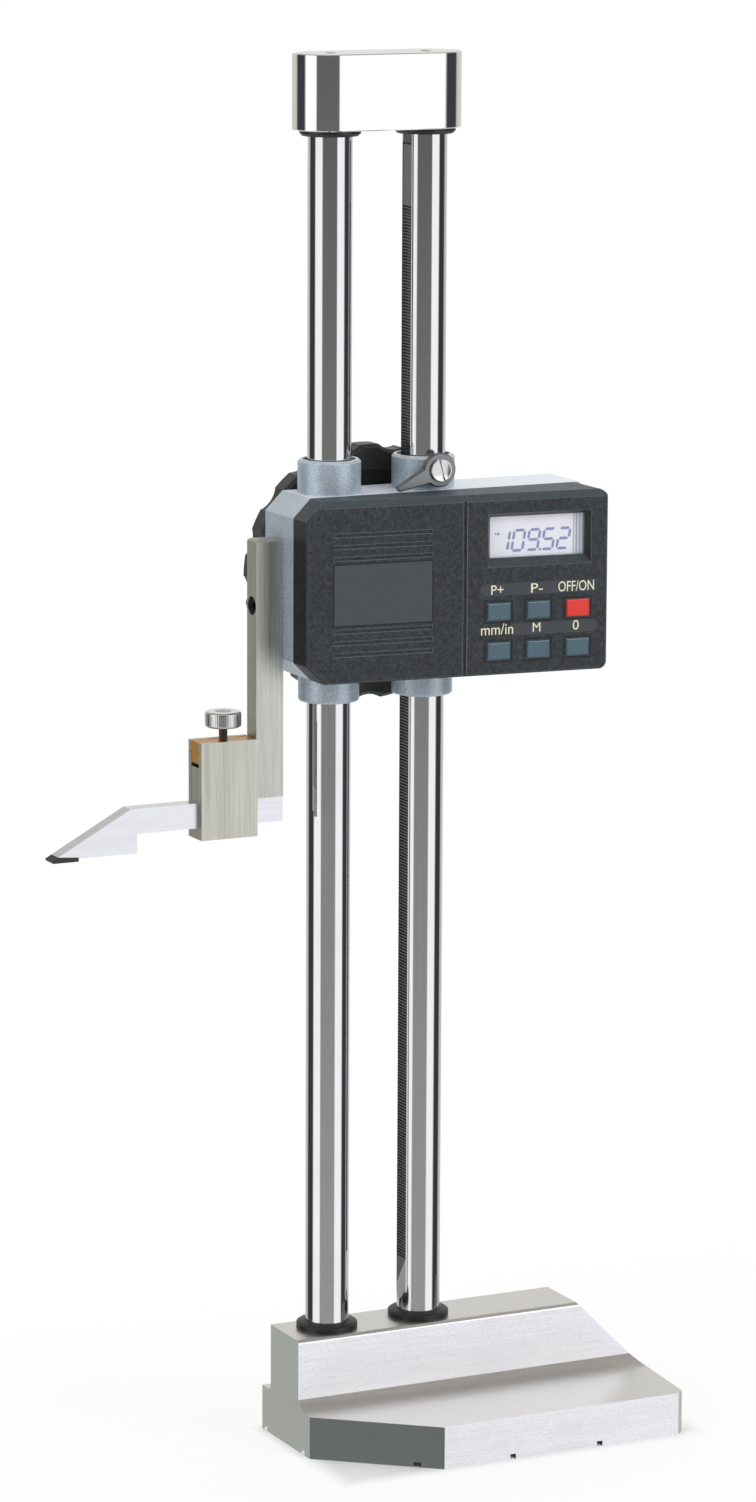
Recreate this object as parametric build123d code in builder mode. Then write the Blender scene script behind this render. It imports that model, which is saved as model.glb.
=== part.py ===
from build123d import *
import os
from math import atan, atan2, ceil, cos, degrees, floor, pi, radians, sin, sqrt, tan

os.makedirs("parts", exist_ok=True)

# Twin-column digital height gauge, in millimetres. X runs to the display end, Y to the back, Z up.
# The origin lies on the base's underside, midway between the two columns.

# ---------------------------------------------------------------- driving dimensions: stand
column_diameter = 22.5
column_spacing = 52.7
column_seat_depth = 37.0
column_cap_depth = 25.0
cap_bottom = 675.4

base_left = 51.5
base_right = 152.1
base_front = 77.4
base_back = 25.0
slab_height = 22.3
ledge_height = 23.5
block_height = 58.9
block_front = 18.9
block_back = 14.6
block_round = 2.2
cove_reach = 12.6
cove_rise = 5.2
ledge_fillet = 3.5
corner_cut_length = 54.8
corner_cut_depth = 44.9
end_slope = 41.5
end_taper = 9.1
corner_bevel = 3.6
relief_width = 3.3
relief_depth = 2.8
relief_spacing = 50.4
relief_count = 3
relief_first_x = -7.8
relief_front_y = -24.6
relief_back_y = 20.4

cap_height = 38.0
cap_round = 16.4
cap_step = 2.4
cap_back = 17.0
cap_corner = 15.2
cap_edge = 0.6

bolt_diameter = 8.0
bolt_length = 30.0
bolt_head_diameter = 13.0
bolt_head_height = 8.0
bolt_key_flats = 6.0
bolt_recess_depth = 12.0
bolt_hole_clearance = 0.5
bolt_head_clearance = 1.5
bolt_tap_margin = 3.0
column_edge = 0.8
cap_screw_diameter = 6.0
cap_screw_sink = 0.5

foot_ring_diameter = 31.6
foot_ring_edge = 2.6
foot_ring_height = 4.2
foot_ring_bevel = 1.2
foot_ring_bevel_rise = 0.8
cap_ring_diameter = 30.8
cap_ring_height = 2.8
cap_ring_bevel = 1.3

# ---------------------------------------------------------------- driving dimensions: rack and gears
gear_module = 0.5
pressure_angle = 20.0
rack_flat = 9.7
rack_width = 10.5
rack_thickness = 2.6
rack_bottom = 89.4
rack_teeth = 348
rack_end_length = 31.2
rack_runout = 21.0
rack_end_bevel = 0.4
tooth_root = 1.25 * gear_module
tooth_thinning = 0.05
mesh_clearance = 0.05
gear_width = 8.0
pinion_teeth = 42
encoder_teeth = 20
gear_cavity_clearance = 0.7

# ---------------------------------------------------------------- driving dimensions: slider
slider_height = 402.0
body_height = 92.0
body_left = 54.3
body_right = 107.5
body_half_depth = 17.0
body_cut = 9.5
body_wall = 4.5
body_round = 1.5
collar_upper_diameter = 32.0
collar_lower_diameter = 31.0
collar_upper_height = 17.0
collar_lower_height = 14.0
collar_round = 1.2
bush_diameter = 27.0
bush_length = 14.0
bush_inset = 0.8
running_clearance = 0.05
pinion_rise = 46.4
encoder_rise = 23.0

cover_depth_left = 16.0
cover_depth_right = 31.0
cover_wall = 2.2
cover_corner = 4.0
cover_top_bevel = 3.4
cover_edge = 0.8
cover_screw_diameter = 3.0
cover_screw_length = 22.0
cover_screw_head = 5.5
cover_screw_head_height = 3.0
cover_screw_clearance = 0.2
cover_head_clearance = 0.4
cover_screw_boss_wall = 2.0
cover_screw_left = 47.5
cover_screw_right = 102.3
cover_screw_inset = 10.0
cover_boss_diameter = 6.4

seam_position = 84.6
seam_width = 2.0
seam_depth = 0.8
plate_left = 14.4
plate_width = 52.7
plate_rise = 29.3
plate_height = 30.9
plate_thickness = 0.6
plate_gap = 0.15
grip_count = 3
grip_pitch = 5.9
grip_first = 2.9
grip_height = 2.0
grip_depth = 0.7

display_margin = 9.3
display_width = 56.2
display_drop = 10.0
display_height = 27.1
display_depth = 4.0
display_side_bevel = 2.4
display_top_bevel = 2.0
display_bottom_bevel = 4.3
display_rim = 2.2
window_thickness = 1.0
window_margin = 1.4
board_depth = 9.5
board_thickness = 1.6
board_left = 90.0
board_right_inset = 10.1
board_inset = 4.5
post_diameter = 3.2
post_side_inset = 2.2
post_top_inset = 2.0
post_foot_inset = 3.5
post_display_gap = 5.5

button_width = 12.2
button_height = 8.4
button_margin = 16.6
button_pitch = 21.5
button_columns = 3
button_low_rise = 12.2
button_row_pitch = 20.1
button_clearance = 0.2
button_proud = 1.3
button_flange = 1.0
button_flange_thickness = 1.0
button_edge = 0.4
button_rest_gap = 0.1
mat_depth = 8.0
mat_margin = 0.8
dome_depth = 4.3

battery_diameter = 24.5
battery_thickness = 5.0
battery_edge = 0.4
battery_clearance = 0.15
battery_holder_size = 30.0
battery_holder_thickness = 7.0
battery_holder_round = 2.0
battery_x = -24.0
battery_rise = 50.0

# ---------------------------------------------------------------- driving dimensions: feed wheel and encoder
shaft_diameter = 8.0
shaft_collar_diameter = 13.0
shaft_front = 15.0
shaft_end_gap = 0.5
shaft_shoulder_gap = 0.1
gear_cavity_depth = 5.5
housing_nose_diameter = 15.0
housing_flange_diameter = 34.0
housing_flange_thickness = 2.2
housing_screw_circle = 28.0
housing_screw_count = 3
housing_screw_diameter = 2.5
housing_screw_head = 4.4
housing_screw_length = 5.0
housing_screw_clearance = 0.1
housing_head_clearance = 0.2
housing_nose_gap = 0.4
wheel_diameter = 131.4
wheel_lobes = 17
wheel_scallop_depth = 2.3
wheel_scallop_radius = 13.0
wheel_gap = 0.8
wheel_thickness = 13.5
wheel_rim_width = 10.0
wheel_hub_diameter = 28.0
wheel_web_thickness = 5.0
wheel_web_inset = 3.5
wheel_edge = 1.6
wheel_screw_diameter = 4.0
wheel_screw_length = 12.0
wheel_screw_end_gap = 1.0
wheel_washer_diameter = 16.0
wheel_washer_thickness = 1.5
wheel_screw_head = 8.0
wheel_screw_head_height = 4.0
encoder_shaft_diameter = 4.0
encoder_flange_diameter = 18.0
encoder_flange_thickness = 1.5
encoder_bush_gap = 0.8
encoder_shaft_proud = 1.0
encoder_disc_gap = 1.5
encoder_disc_diameter = 24.0
encoder_disc_thickness = 1.0
sensor_width = 10.0
sensor_height = 8.0
sensor_lap = 3.0
sensor_wall = 2.0
sensor_clearance = 0.6
sensor_slot_relief = 1.5

# ---------------------------------------------------------------- driving dimensions: clamp lever
clamp_rise = 10.6
clamp_boss_diameter = 12.4
clamp_boss_proud = 0.8
clamp_hub_diameter = 17.4
clamp_root_diameter = 10.4
clamp_tip_diameter = 3.2
clamp_reach = 22.2
clamp_drop = 8.2
clamp_lever_thickness = 3.0
clamp_lever_edge = 0.6
clamp_screw_diameter = 6.0
clamp_screw_head = 11.8
clamp_screw_head_height = 1.5
clamp_screw_edge = 0.4
clamp_screw_rim = 0.9
clamp_screw_dish = 0.5
clamp_slot_width = 1.5
clamp_slot_depth = 1.1
clamp_slot_tilt = 105.0
clamp_pad_diameter = 5.0
clamp_end_gap = 0.1
clamp_pad_gap = 0.08

# ---------------------------------------------------------------- driving dimensions: scriber arm
arm_width = 14.9
arm_depth = 11.2
arm_above = 70.6
arm_below = 60.6
arm_edge = 1.0
arm_foot_height = 17.8
arm_foot_depth = 9.0
arm_foot_length = 31.2
arm_screw_rise = 37.0
arm_screw_diameter = 5.0
arm_screw_length = 22.0
arm_screw_head = 8.5
arm_screw_head_height = 5.0
arm_screw_recess = 6.5
arm_screw_key_flats = 4.0
arm_screw_clearance = 0.25
arm_head_clearance = 0.5
clamp_box_length = 30.9
clamp_box_depth = 16.0
clamp_box_height = 49.6
clamp_box_gap = 0.4
clamp_box_floor = 6.0
clamp_box_clearance = 0.1
nut_end_gap = 0.2
nut_height = 11.3
nut_rib_height = 2.6
nut_rib_depth = 1.2
thumb_diameter = 18.4
thumb_height = 8.0
thumb_lift = 6.4
thumb_stem_diameter = 4.4
thumb_round = 1.4
thumb_end_gap = 0.1
scriber_height = 12.7
scriber_length = 126.6
scriber_rear_overlap = 0.4
scriber_clearance = 0.05
nib_length = 46.25
nib_step = 9.9
nib_slant_length = 42.7
tip_setback = 0.8
tip_height = 1.1
carbide_length = 13.8
carbide_drop = 1.5
carbide_lap = 0.65
carbide_cut = 3.6

fit_clearance = 0.02
shaft_clearance = 0.04
cut_margin = 1.0

# ---------------------------------------------------------------- derived sizes
column_x = column_spacing / 2
column_r = column_diameter / 2
column_foot = block_height - column_seat_depth
column_top = cap_bottom + column_cap_depth
column_points = ((-column_x, 0), (column_x, 0))
base_length = base_left + base_right
base_depth = base_front + base_back

tooth_pitch = pi * gear_module
rack_face = column_x - rack_flat
rack_pitch_line = rack_face + gear_module
rack_top = rack_bottom + rack_teeth * tooth_pitch
pinion_x = rack_pitch_line - gear_module * pinion_teeth / 2 - mesh_clearance
encoder_x = rack_pitch_line - gear_module * encoder_teeth / 2 - mesh_clearance
pinion_z = slider_height + pinion_rise
encoder_z = slider_height + encoder_rise

body_top = slider_height + body_height
body_length = body_left + body_right
collar_top = body_top + collar_upper_height
collar_bottom = slider_height - collar_lower_height
cavity_r = gear_module * (pinion_teeth + 2) / 2 + gear_cavity_clearance
encoder_cavity_r = gear_module * (encoder_teeth + 2) / 2 + gear_cavity_clearance

panel_slope = (cover_depth_right - cover_depth_left) / body_length
panel_tilt = atan(panel_slope)
panel = Plane(
    origin=(-body_left, -body_half_depth - cover_depth_left, slider_height),
    x_dir=(cos(panel_tilt), -sin(panel_tilt), 0),
    z_dir=(-sin(panel_tilt), -cos(panel_tilt), 0),
)
panel_length = body_length / cos(panel_tilt)
display_left = panel_length - display_margin - display_width
display_rise = body_height - display_drop - display_height
board_width = panel_length - board_right_inset - board_left
board_height = body_height - 2 * board_inset
button_first = panel_length - button_margin - (button_columns - 1) * button_pitch

arm_right = -body_left
arm_left = arm_right - arm_width
arm_top = slider_height + arm_above
arm_bottom = slider_height - arm_below
foot_top = arm_bottom + arm_foot_height
foot_left = arm_left - arm_foot_length
box_right = arm_left - clamp_box_gap
box_left = box_right - clamp_box_length
box_centre = (box_left + box_right) / 2
scriber_top = arm_bottom - scriber_clearance
scriber_bottom = scriber_top - scriber_height
box_bottom = scriber_bottom - scriber_clearance - clamp_box_floor
box_top = box_bottom + clamp_box_height


def cover_depth_at(x):
    """Depth of the front cover, from the parting plane to its tilted face, at a given x."""
    return cover_depth_left + (x + body_left) * panel_slope


def tooth_half_angles(teeth, radii):
    """Half the angle that an involute tooth covers at each radius."""
    pitch_r = gear_module * teeth / 2
    base_r = pitch_r * cos(radians(pressure_angle))
    pitch_half = (tooth_pitch / 2 - tooth_thinning) / (2 * pitch_r)

    def involute(radius):
        roll = sqrt(max((radius / base_r) ** 2 - 1, 0))
        return roll - atan(roll)

    return [pitch_half + involute(pitch_r) - involute(radius) for radius in radii]


def gear_outline(teeth, centre, height_above_rack_foot):
    """Points of a spur gear's outline, turned so that it is in mesh with the rack on its right."""
    pitch_r = gear_module * teeth / 2
    tip_r = pitch_r + gear_module
    root_r = pitch_r - tooth_root
    flank_step = gear_module / 3
    radii = (root_r, pitch_r - flank_step, pitch_r + flank_step, tip_r)
    half_angles = tooth_half_angles(teeth, radii)
    mesh_angle = -height_above_rack_foot / pitch_r
    points = []
    for tooth in range(teeth):
        middle = mesh_angle + tooth * 2 * pi / teeth
        flank = list(zip(radii, half_angles))
        for radius, half in flank:
            points.append((centre[0] + radius * cos(middle - half), centre[1] + radius * sin(middle - half)))
        for radius, half in reversed(flank):
            points.append((centre[0] + radius * cos(middle + half), centre[1] + radius * sin(middle + half)))
    return points


def rack_outline():
    """Points of the rack's outline: a straight back, and teeth that point to the left."""
    slope = tan(radians(pressure_angle))
    tip_half = tooth_pitch / 4 - tooth_thinning / 2 - gear_module * slope
    root_half = tooth_pitch / 4 - tooth_thinning / 2 + tooth_root * slope
    root_x = rack_face + gear_module + tooth_root
    back_x = rack_face + rack_thickness
    points = [(back_x, rack_bottom), (root_x, rack_bottom)]
    for tooth in range(rack_teeth):
        middle = rack_bottom + (tooth + 0.5) * tooth_pitch
        points.append((root_x, middle - root_half))
        points.append((rack_face, middle - tip_half))
        points.append((rack_face, middle + tip_half))
        points.append((root_x, middle + root_half))
    points += [(root_x, rack_top), (back_x, rack_top)]
    return points


# ================================================================ stand

# Base: one length of a profile with a low front slab, a cove, a tall block and a rear ledge.
cove_radius = (cove_reach**2 + cove_rise**2) / (2 * cove_rise)
cove_turn = degrees(atan2(cove_reach, cove_radius - cove_rise))
cove_start = (-block_front - cove_reach, slab_height)
with BuildPart() as base:
    with BuildSketch(Plane.YZ.offset(-base_left)) as base_profile:
        with BuildLine():
            cove = CenterArc((cove_start[0], slab_height + cove_radius), cove_radius, 270, cove_turn)
            Polyline(
                cove @ 0,
                (-base_front, slab_height),
                (-base_front, 0),
                (base_back, 0),
                (base_back, ledge_height),
                (block_back, ledge_height),
                (block_back, block_height),
                (-block_front, block_height),
                cove @ 1,
            )
        make_face()
        fillet(base_profile.vertices().sort_by_distance((-block_front, block_height))[0], block_round)
        fillet(base_profile.vertices().sort_by_distance((block_back, ledge_height))[0], ledge_fillet)
    extrude(amount=base_length)
    with BuildSketch(Plane.XY):
        with BuildLine():
            Polyline(
                (-base_left, -base_front),
                (-base_left + corner_cut_length, -base_front),
                (-base_left, -base_front + corner_cut_depth),
                close=True,
            )
        make_face()
    extrude(amount=block_height, mode=Mode.SUBTRACT)
    with BuildSketch(Plane.XZ.offset(-base_back)):
        with BuildLine():
            Polyline(
                (base_right - end_slope, block_height),
                (base_right, block_height),
                (base_right, block_height - end_slope),
                close=True,
            )
        make_face()
    extrude(amount=base_depth, mode=Mode.SUBTRACT)
    # The right end narrows towards the front, and its front corner is bevelled.
    front_corner = (base_right - end_taper, -base_front, slab_height / 2)
    with BuildSketch(Plane.XY):
        with BuildLine():
            Polyline(
                (base_right, base_back),
                (base_right - end_taper, -base_front),
                (base_right + end_taper, -base_front),
                (base_right + end_taper, base_back),
                close=True,
            )
        make_face()
    extrude(amount=block_height, mode=Mode.SUBTRACT)
    chamfer(base.edges().filter_by(Axis.Z).sort_by_distance(front_corner)[0], corner_bevel)
    with BuildSketch(Plane.XZ.offset(-base_back)):
        for index in range(relief_count):
            with Locations((relief_first_x + index * relief_spacing, relief_depth / 2)):
                Rectangle(relief_width, relief_depth)
    extrude(amount=base_depth, mode=Mode.SUBTRACT)
    with BuildSketch(Plane.YZ.offset(-base_left)):
        with Locations((relief_front_y, relief_depth / 2), (relief_back_y, relief_depth / 2)):
            Rectangle(relief_width, relief_depth)
    extrude(amount=base_length, mode=Mode.SUBTRACT)
    with BuildSketch(Plane.XY.offset(column_foot)):
        with Locations(*column_points):
            Circle(column_r + fit_clearance)
    extrude(amount=column_seat_depth, mode=Mode.SUBTRACT)
    with BuildSketch(Plane.XY):
        with Locations(*column_points):
            Circle(bolt_diameter / 2 + bolt_hole_clearance)
    extrude(amount=column_foot, mode=Mode.SUBTRACT)
    with BuildSketch(Plane.XY):
        with Locations(*column_points):
            Circle(bolt_head_diameter / 2 + bolt_head_clearance)
    extrude(amount=bolt_recess_depth, mode=Mode.SUBTRACT)

base.part.label = "base"
export_step(base.part, "parts/base.step")


def round_column(x):
    """Ground column, tapped at its foot for the bolt that holds it down."""
    with BuildPart() as column:
        with BuildSketch(Plane.XY.offset(column_foot)):
            with Locations((x, 0)):
                Circle(column_r)
        extrude(amount=column_top - column_foot)
        chamfer(column.edges().filter_by(GeomType.CIRCLE), column_edge)
        with BuildSketch(Plane.XY.offset(column_foot)):
            with Locations((x, 0)):
                Circle(bolt_diameter / 2 + fit_clearance)
        extrude(amount=bolt_recess_depth + bolt_length + bolt_tap_margin - column_foot, mode=Mode.SUBTRACT)
    return column


column_left = round_column(-column_x)
column_left.part.label = "column_left"
export_step(column_left.part, "parts/column_left.step")

# The right column has a flat-bottomed slot for the rack, with the cutter's run-out at its foot.
slot_floor = rack_face + rack_thickness + fit_clearance
with BuildPart() as column_right:
    add(round_column(column_x).part)
    with BuildSketch(Plane.XZ):
        with BuildLine():
            Polyline(
                (column_x - column_r, rack_bottom - rack_runout),
                (slot_floor, rack_bottom - fit_clearance),
                (slot_floor, column_top),
                (column_x - column_r - cut_margin, column_top),
                (column_x - column_r - cut_margin, rack_bottom - rack_runout),
                close=True,
            )
        make_face()
    extrude(amount=rack_width / 2 + fit_clearance, both=True, mode=Mode.SUBTRACT)

column_right.part.label = "column_right"
export_step(column_right.part, "parts/column_right.step")

with BuildPart() as rack:
    with BuildSketch(Plane.XZ):
        with BuildLine():
            Polyline(*rack_outline(), close=True)
        make_face()
    extrude(amount=rack_width / 2, both=True)

rack.part.label = "rack"
export_step(rack.part, "parts/rack.step")

with BuildPart() as rack_end_block:
    with BuildSketch(Plane.XZ):
        with Locations((rack_face + rack_thickness / 2, rack_top + rack_end_length / 2)):
            Rectangle(rack_thickness, rack_end_length)
    extrude(amount=rack_width / 2, both=True)
    chamfer(rack_end_block.faces().sort_by(Axis.X)[0].edges().filter_by(Axis.Y), rack_end_bevel)

rack_end_block.part.label = "rack_end_block"
export_step(rack_end_block.part, "parts/rack_end_block.step")

for side, x in (("left", -column_x), ("right", column_x)):
    ring_inner = column_r + fit_clearance
    # Foot ring: a dished collar whose top climbs from its outer edge to the column.
    rim_x = x + foot_ring_diameter / 2
    rim_z = block_height + foot_ring_edge
    with BuildPart() as foot_ring:
        with BuildSketch(Plane.XZ):
            with BuildLine():
                Polyline(
                    (x + ring_inner, block_height),
                    (rim_x, block_height),
                    (rim_x, rim_z),
                    (rim_x - foot_ring_bevel, rim_z + foot_ring_bevel_rise),
                    (x + ring_inner, block_height + foot_ring_height),
                    close=True,
                )
            make_face()
        revolve(axis=Axis((x, 0, 0), (0, 0, 1)))
    foot_ring.part.label = f"foot_ring_{side}"
    export_step(foot_ring.part, f"parts/foot_ring_{side}.step")

    with BuildPart() as cap_ring:
        with BuildSketch(Plane.XZ):
            with BuildLine():
                Polyline(
                    (x + ring_inner, cap_bottom),
                    (x + cap_ring_diameter / 2, cap_bottom),
                    (x + cap_ring_diameter / 2, cap_bottom - cap_ring_height + cap_ring_bevel),
                    (x + cap_ring_diameter / 2 - cap_ring_bevel, cap_bottom - cap_ring_height),
                    (x + ring_inner, cap_bottom - cap_ring_height),
                    close=True,
                )
            make_face()
        revolve(axis=Axis((x, 0, 0), (0, 0, 1)))
    cap_ring.part.label = f"cap_ring_{side}"
    export_step(cap_ring.part, f"parts/cap_ring_{side}.step")

# Cap: its front half follows the columns, its back half is a wider block, one step out.
cap_half_width = column_x + cap_round + cap_step
with BuildPart() as top_cap:
    with BuildSketch(Plane.XY.offset(cap_bottom)) as cap_outline:
        SlotCenterToCenter(column_spacing, 2 * cap_round)
        with Locations((0, cap_back / 2)):
            Rectangle(2 * cap_half_width, cap_back)
        chamfer(cap_outline.vertices().group_by(Axis.Y)[-1], cap_corner)
    extrude(amount=cap_height)
    chamfer(top_cap.faces().sort_by(Axis.Z)[-1].edges(), cap_edge)
    chamfer(top_cap.faces().sort_by(Axis.Z)[0].edges(), cap_edge)
    with BuildSketch(Plane.XY.offset(cap_bottom)):
        with Locations(*column_points):
            Circle(column_r + fit_clearance)
    extrude(amount=column_cap_depth, mode=Mode.SUBTRACT)
    with BuildSketch(Plane.XZ.offset(-cap_back)):
        with Locations(*[(x, cap_bottom + column_cap_depth / 2) for x, _ in column_points]):
            Circle(cap_screw_diameter / 2 + fit_clearance)
    extrude(amount=cap_back - column_r / 2, mode=Mode.SUBTRACT)

top_cap.part.label = "top_cap"
export_step(top_cap.part, "parts/top_cap.step")

cap_screw_length = cap_back - column_r - cap_screw_sink
with BuildPart() as cap_screws:
    with BuildSketch(Plane.XZ.offset(-cap_back + cap_screw_sink)):
        with Locations(*[(x, cap_bottom + column_cap_depth / 2) for x, _ in column_points]):
            Circle(cap_screw_diameter / 2)
            RegularPolygon(cap_screw_diameter / 4, 6, mode=Mode.SUBTRACT)
    extrude(amount=cap_screw_length / 2)
    with BuildSketch(Plane.XZ.offset(-cap_back + cap_screw_sink + cap_screw_length / 2)):
        with Locations(*[(x, cap_bottom + column_cap_depth / 2) for x, _ in column_points]):
            Circle(cap_screw_diameter / 2)
    extrude(amount=cap_screw_length / 2 - fit_clearance)

cap_screws.part.label = "cap_screws"
export_step(cap_screws.part, "parts/cap_screws.step")

with BuildPart() as column_bolts:
    with BuildSketch(Plane.XY.offset(bolt_recess_depth - bolt_head_height)):
        with Locations(*column_points):
            Circle(bolt_head_diameter / 2)
    extrude(amount=bolt_head_height)
    with BuildSketch(Plane.XY.offset(bolt_recess_depth)):
        with Locations(*column_points):
            Circle(bolt_diameter / 2)
    extrude(amount=bolt_length)
    with BuildSketch(Plane.XY.offset(bolt_recess_depth - bolt_head_height)):
        with Locations(*column_points):
            RegularPolygon(bolt_key_flats / 2, 6, major_radius=False)
    extrude(amount=bolt_head_height / 2, mode=Mode.SUBTRACT)

column_bolts.part.label = "column_bolts"
export_step(column_bolts.part, "parts/column_bolts.step")

# ================================================================ slider

# Die-cast body: a block with cut left corners, four collars round the columns and an open box
# at its right end for the electronics.
cover_screw_points = [
    (x, z)
    for x in (-cover_screw_left, cover_screw_right)
    for z in (slider_height + cover_screw_inset, body_top - cover_screw_inset)
]
box_pocket_left = column_x + collar_upper_diameter / 2 + body_wall
box_pocket_right = body_right - body_wall
clamp_z = body_top + clamp_rise
clamp_boss_face = collar_upper_diameter / 2 + clamp_boss_proud
with BuildPart() as slider_body:
    with BuildSketch(Plane.XZ.offset(-body_half_depth)) as body_outline:
        with Locations(((body_right - body_left) / 2, slider_height + body_height / 2)):
            Rectangle(body_length, body_height)
        chamfer(body_outline.vertices().group_by(Axis.X)[0], body_cut)
    extrude(amount=2 * body_half_depth)
    fillet(slider_body.faces().sort_by(Axis.Y)[-1].edges(), body_round)
    with BuildSketch(Plane.XY.offset(body_top - body_round)):
        with Locations(*column_points):
            Circle(collar_upper_diameter / 2)
    extrude(amount=collar_upper_height + body_round)
    with BuildSketch(Plane.XY.offset(collar_bottom)):
        with Locations(*column_points):
            Circle(collar_lower_diameter / 2)
    extrude(amount=collar_lower_height + body_round)
    chamfer(slider_body.edges().group_by(Axis.Z)[-1], collar_round)
    fillet(slider_body.edges().group_by(Axis.Z)[0], collar_round)
    with BuildSketch(Plane.XZ.offset(clamp_boss_face)):
        with Locations((column_x, clamp_z)):
            Circle(clamp_boss_diameter / 2)
    extrude(amount=-clamp_boss_face / 2)
    # Bores for the columns' bushes.
    with BuildSketch(Plane.XY.offset(collar_bottom)):
        with Locations(*column_points):
            Circle(bush_diameter / 2)
    extrude(amount=collar_top - collar_bottom, mode=Mode.SUBTRACT)
    # Box for the electronics, open to the front, with a boss in each far corner.
    with BuildSketch(Plane.XZ.offset(body_half_depth)):
        with Locations(((box_pocket_left + box_pocket_right) / 2, slider_height + body_height / 2)):
            Rectangle(box_pocket_right - box_pocket_left, body_height - 2 * body_wall)
    extrude(amount=-(2 * body_half_depth - body_wall), mode=Mode.SUBTRACT)
    with BuildSketch(Plane.XZ.offset(body_half_depth)):
        with Locations(*cover_screw_points[2:]):
            Circle(cover_screw_head / 2 + cover_screw_boss_wall)
    extrude(amount=-(2 * body_half_depth - body_wall / 2))
    # Gear cavity from the back, with the front bearing of the drive shaft at its bottom.
    with BuildSketch(Plane.XZ.offset(-body_half_depth)):
        with Locations((pinion_x, pinion_z)):
            Circle(cavity_r)
    extrude(amount=body_half_depth + gear_cavity_depth, mode=Mode.SUBTRACT)
    with BuildSketch(Plane.XZ.offset(gear_cavity_depth)):
        with Locations((pinion_x, pinion_z)):
            Circle(shaft_diameter / 2 + shaft_clearance)
    extrude(amount=shaft_front - gear_cavity_depth + shaft_end_gap, mode=Mode.SUBTRACT)
    # Encoder cavity from the front, with the shaft's rear bearing behind it.
    with BuildSketch(Plane.XZ.offset(body_half_depth)):
        with Locations((encoder_x, encoder_z)):
            Circle(encoder_cavity_r)
    extrude(amount=-(body_half_depth + gear_cavity_depth), mode=Mode.SUBTRACT)
    with BuildSketch(Plane.XZ.offset(-gear_cavity_depth)):
        with Locations((encoder_x, encoder_z)):
            Circle(encoder_shaft_diameter / 2 + shaft_clearance)
    extrude(amount=-gear_cavity_depth, mode=Mode.SUBTRACT)
    # Screw holes: housing screws at the back, cover screws right through, arm screw at the left end.
    with BuildSketch(Plane.XZ.offset(-body_half_depth)):
        with Locations((pinion_x, pinion_z)):
            with PolarLocations(housing_screw_circle / 2, housing_screw_count, start_angle=90):
                Circle(housing_screw_diameter / 2 + fit_clearance)
    extrude(amount=housing_screw_length, mode=Mode.SUBTRACT)
    with BuildSketch(Plane.XZ.offset(-body_half_depth)):
        with Locations(*cover_screw_points):
            Circle(cover_screw_diameter / 2 + cover_screw_clearance)
    extrude(amount=2 * body_half_depth, mode=Mode.SUBTRACT)
    with BuildSketch(Plane.XZ.offset(-body_half_depth)):
        with Locations(*cover_screw_points):
            Circle(cover_screw_head / 2 + cover_head_clearance)
    extrude(amount=body_half_depth + gear_cavity_depth, mode=Mode.SUBTRACT)
    with BuildSketch(Plane.YZ.offset(-body_left)):
        with Locations((0, slider_height + arm_screw_rise)):
            Circle(arm_screw_diameter / 2 + fit_clearance)
    extrude(amount=arm_screw_length + arm_screw_recess - arm_width + cut_margin, mode=Mode.SUBTRACT)
    # Clamp screw hole through the upper right collar.
    with BuildSketch(Plane.XZ.offset(clamp_boss_face)):
        with Locations((column_x, clamp_z)):
            Circle(clamp_screw_diameter / 2 + shaft_clearance)
    extrude(amount=-clamp_boss_face / 2, mode=Mode.SUBTRACT)

slider_body.part.label = "slider_body"
export_step(slider_body.part, "parts/slider_body.step")

# Bushes, one at the outer end of each collar. The upper right one lets the clamp pad through.
bush_levels = (("upper", collar_top - bush_inset - bush_length), ("lower", collar_bottom + bush_inset))
for side, x in (("left", -column_x), ("right", column_x)):
    for level, z in bush_levels:
        with BuildPart() as column_bush:
            with BuildSketch(Plane.XY.offset(z)):
                with Locations((x, 0)):
                    Circle(bush_diameter / 2 - fit_clearance)
                    Circle(column_r + running_clearance, mode=Mode.SUBTRACT)
            extrude(amount=bush_length)
            if (side, level) == ("right", "upper"):
                with BuildSketch(Plane.XZ.offset(column_r / 2)):
                    with Locations((column_x, clamp_z)):
                        Circle(clamp_pad_diameter / 2 + shaft_clearance)
                extrude(amount=bush_diameter, mode=Mode.SUBTRACT)
        column_bush.part.label = f"column_bush_{level}_{side}"
        export_step(column_bush.part, f"parts/column_bush_{level}_{side}.step")

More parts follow.
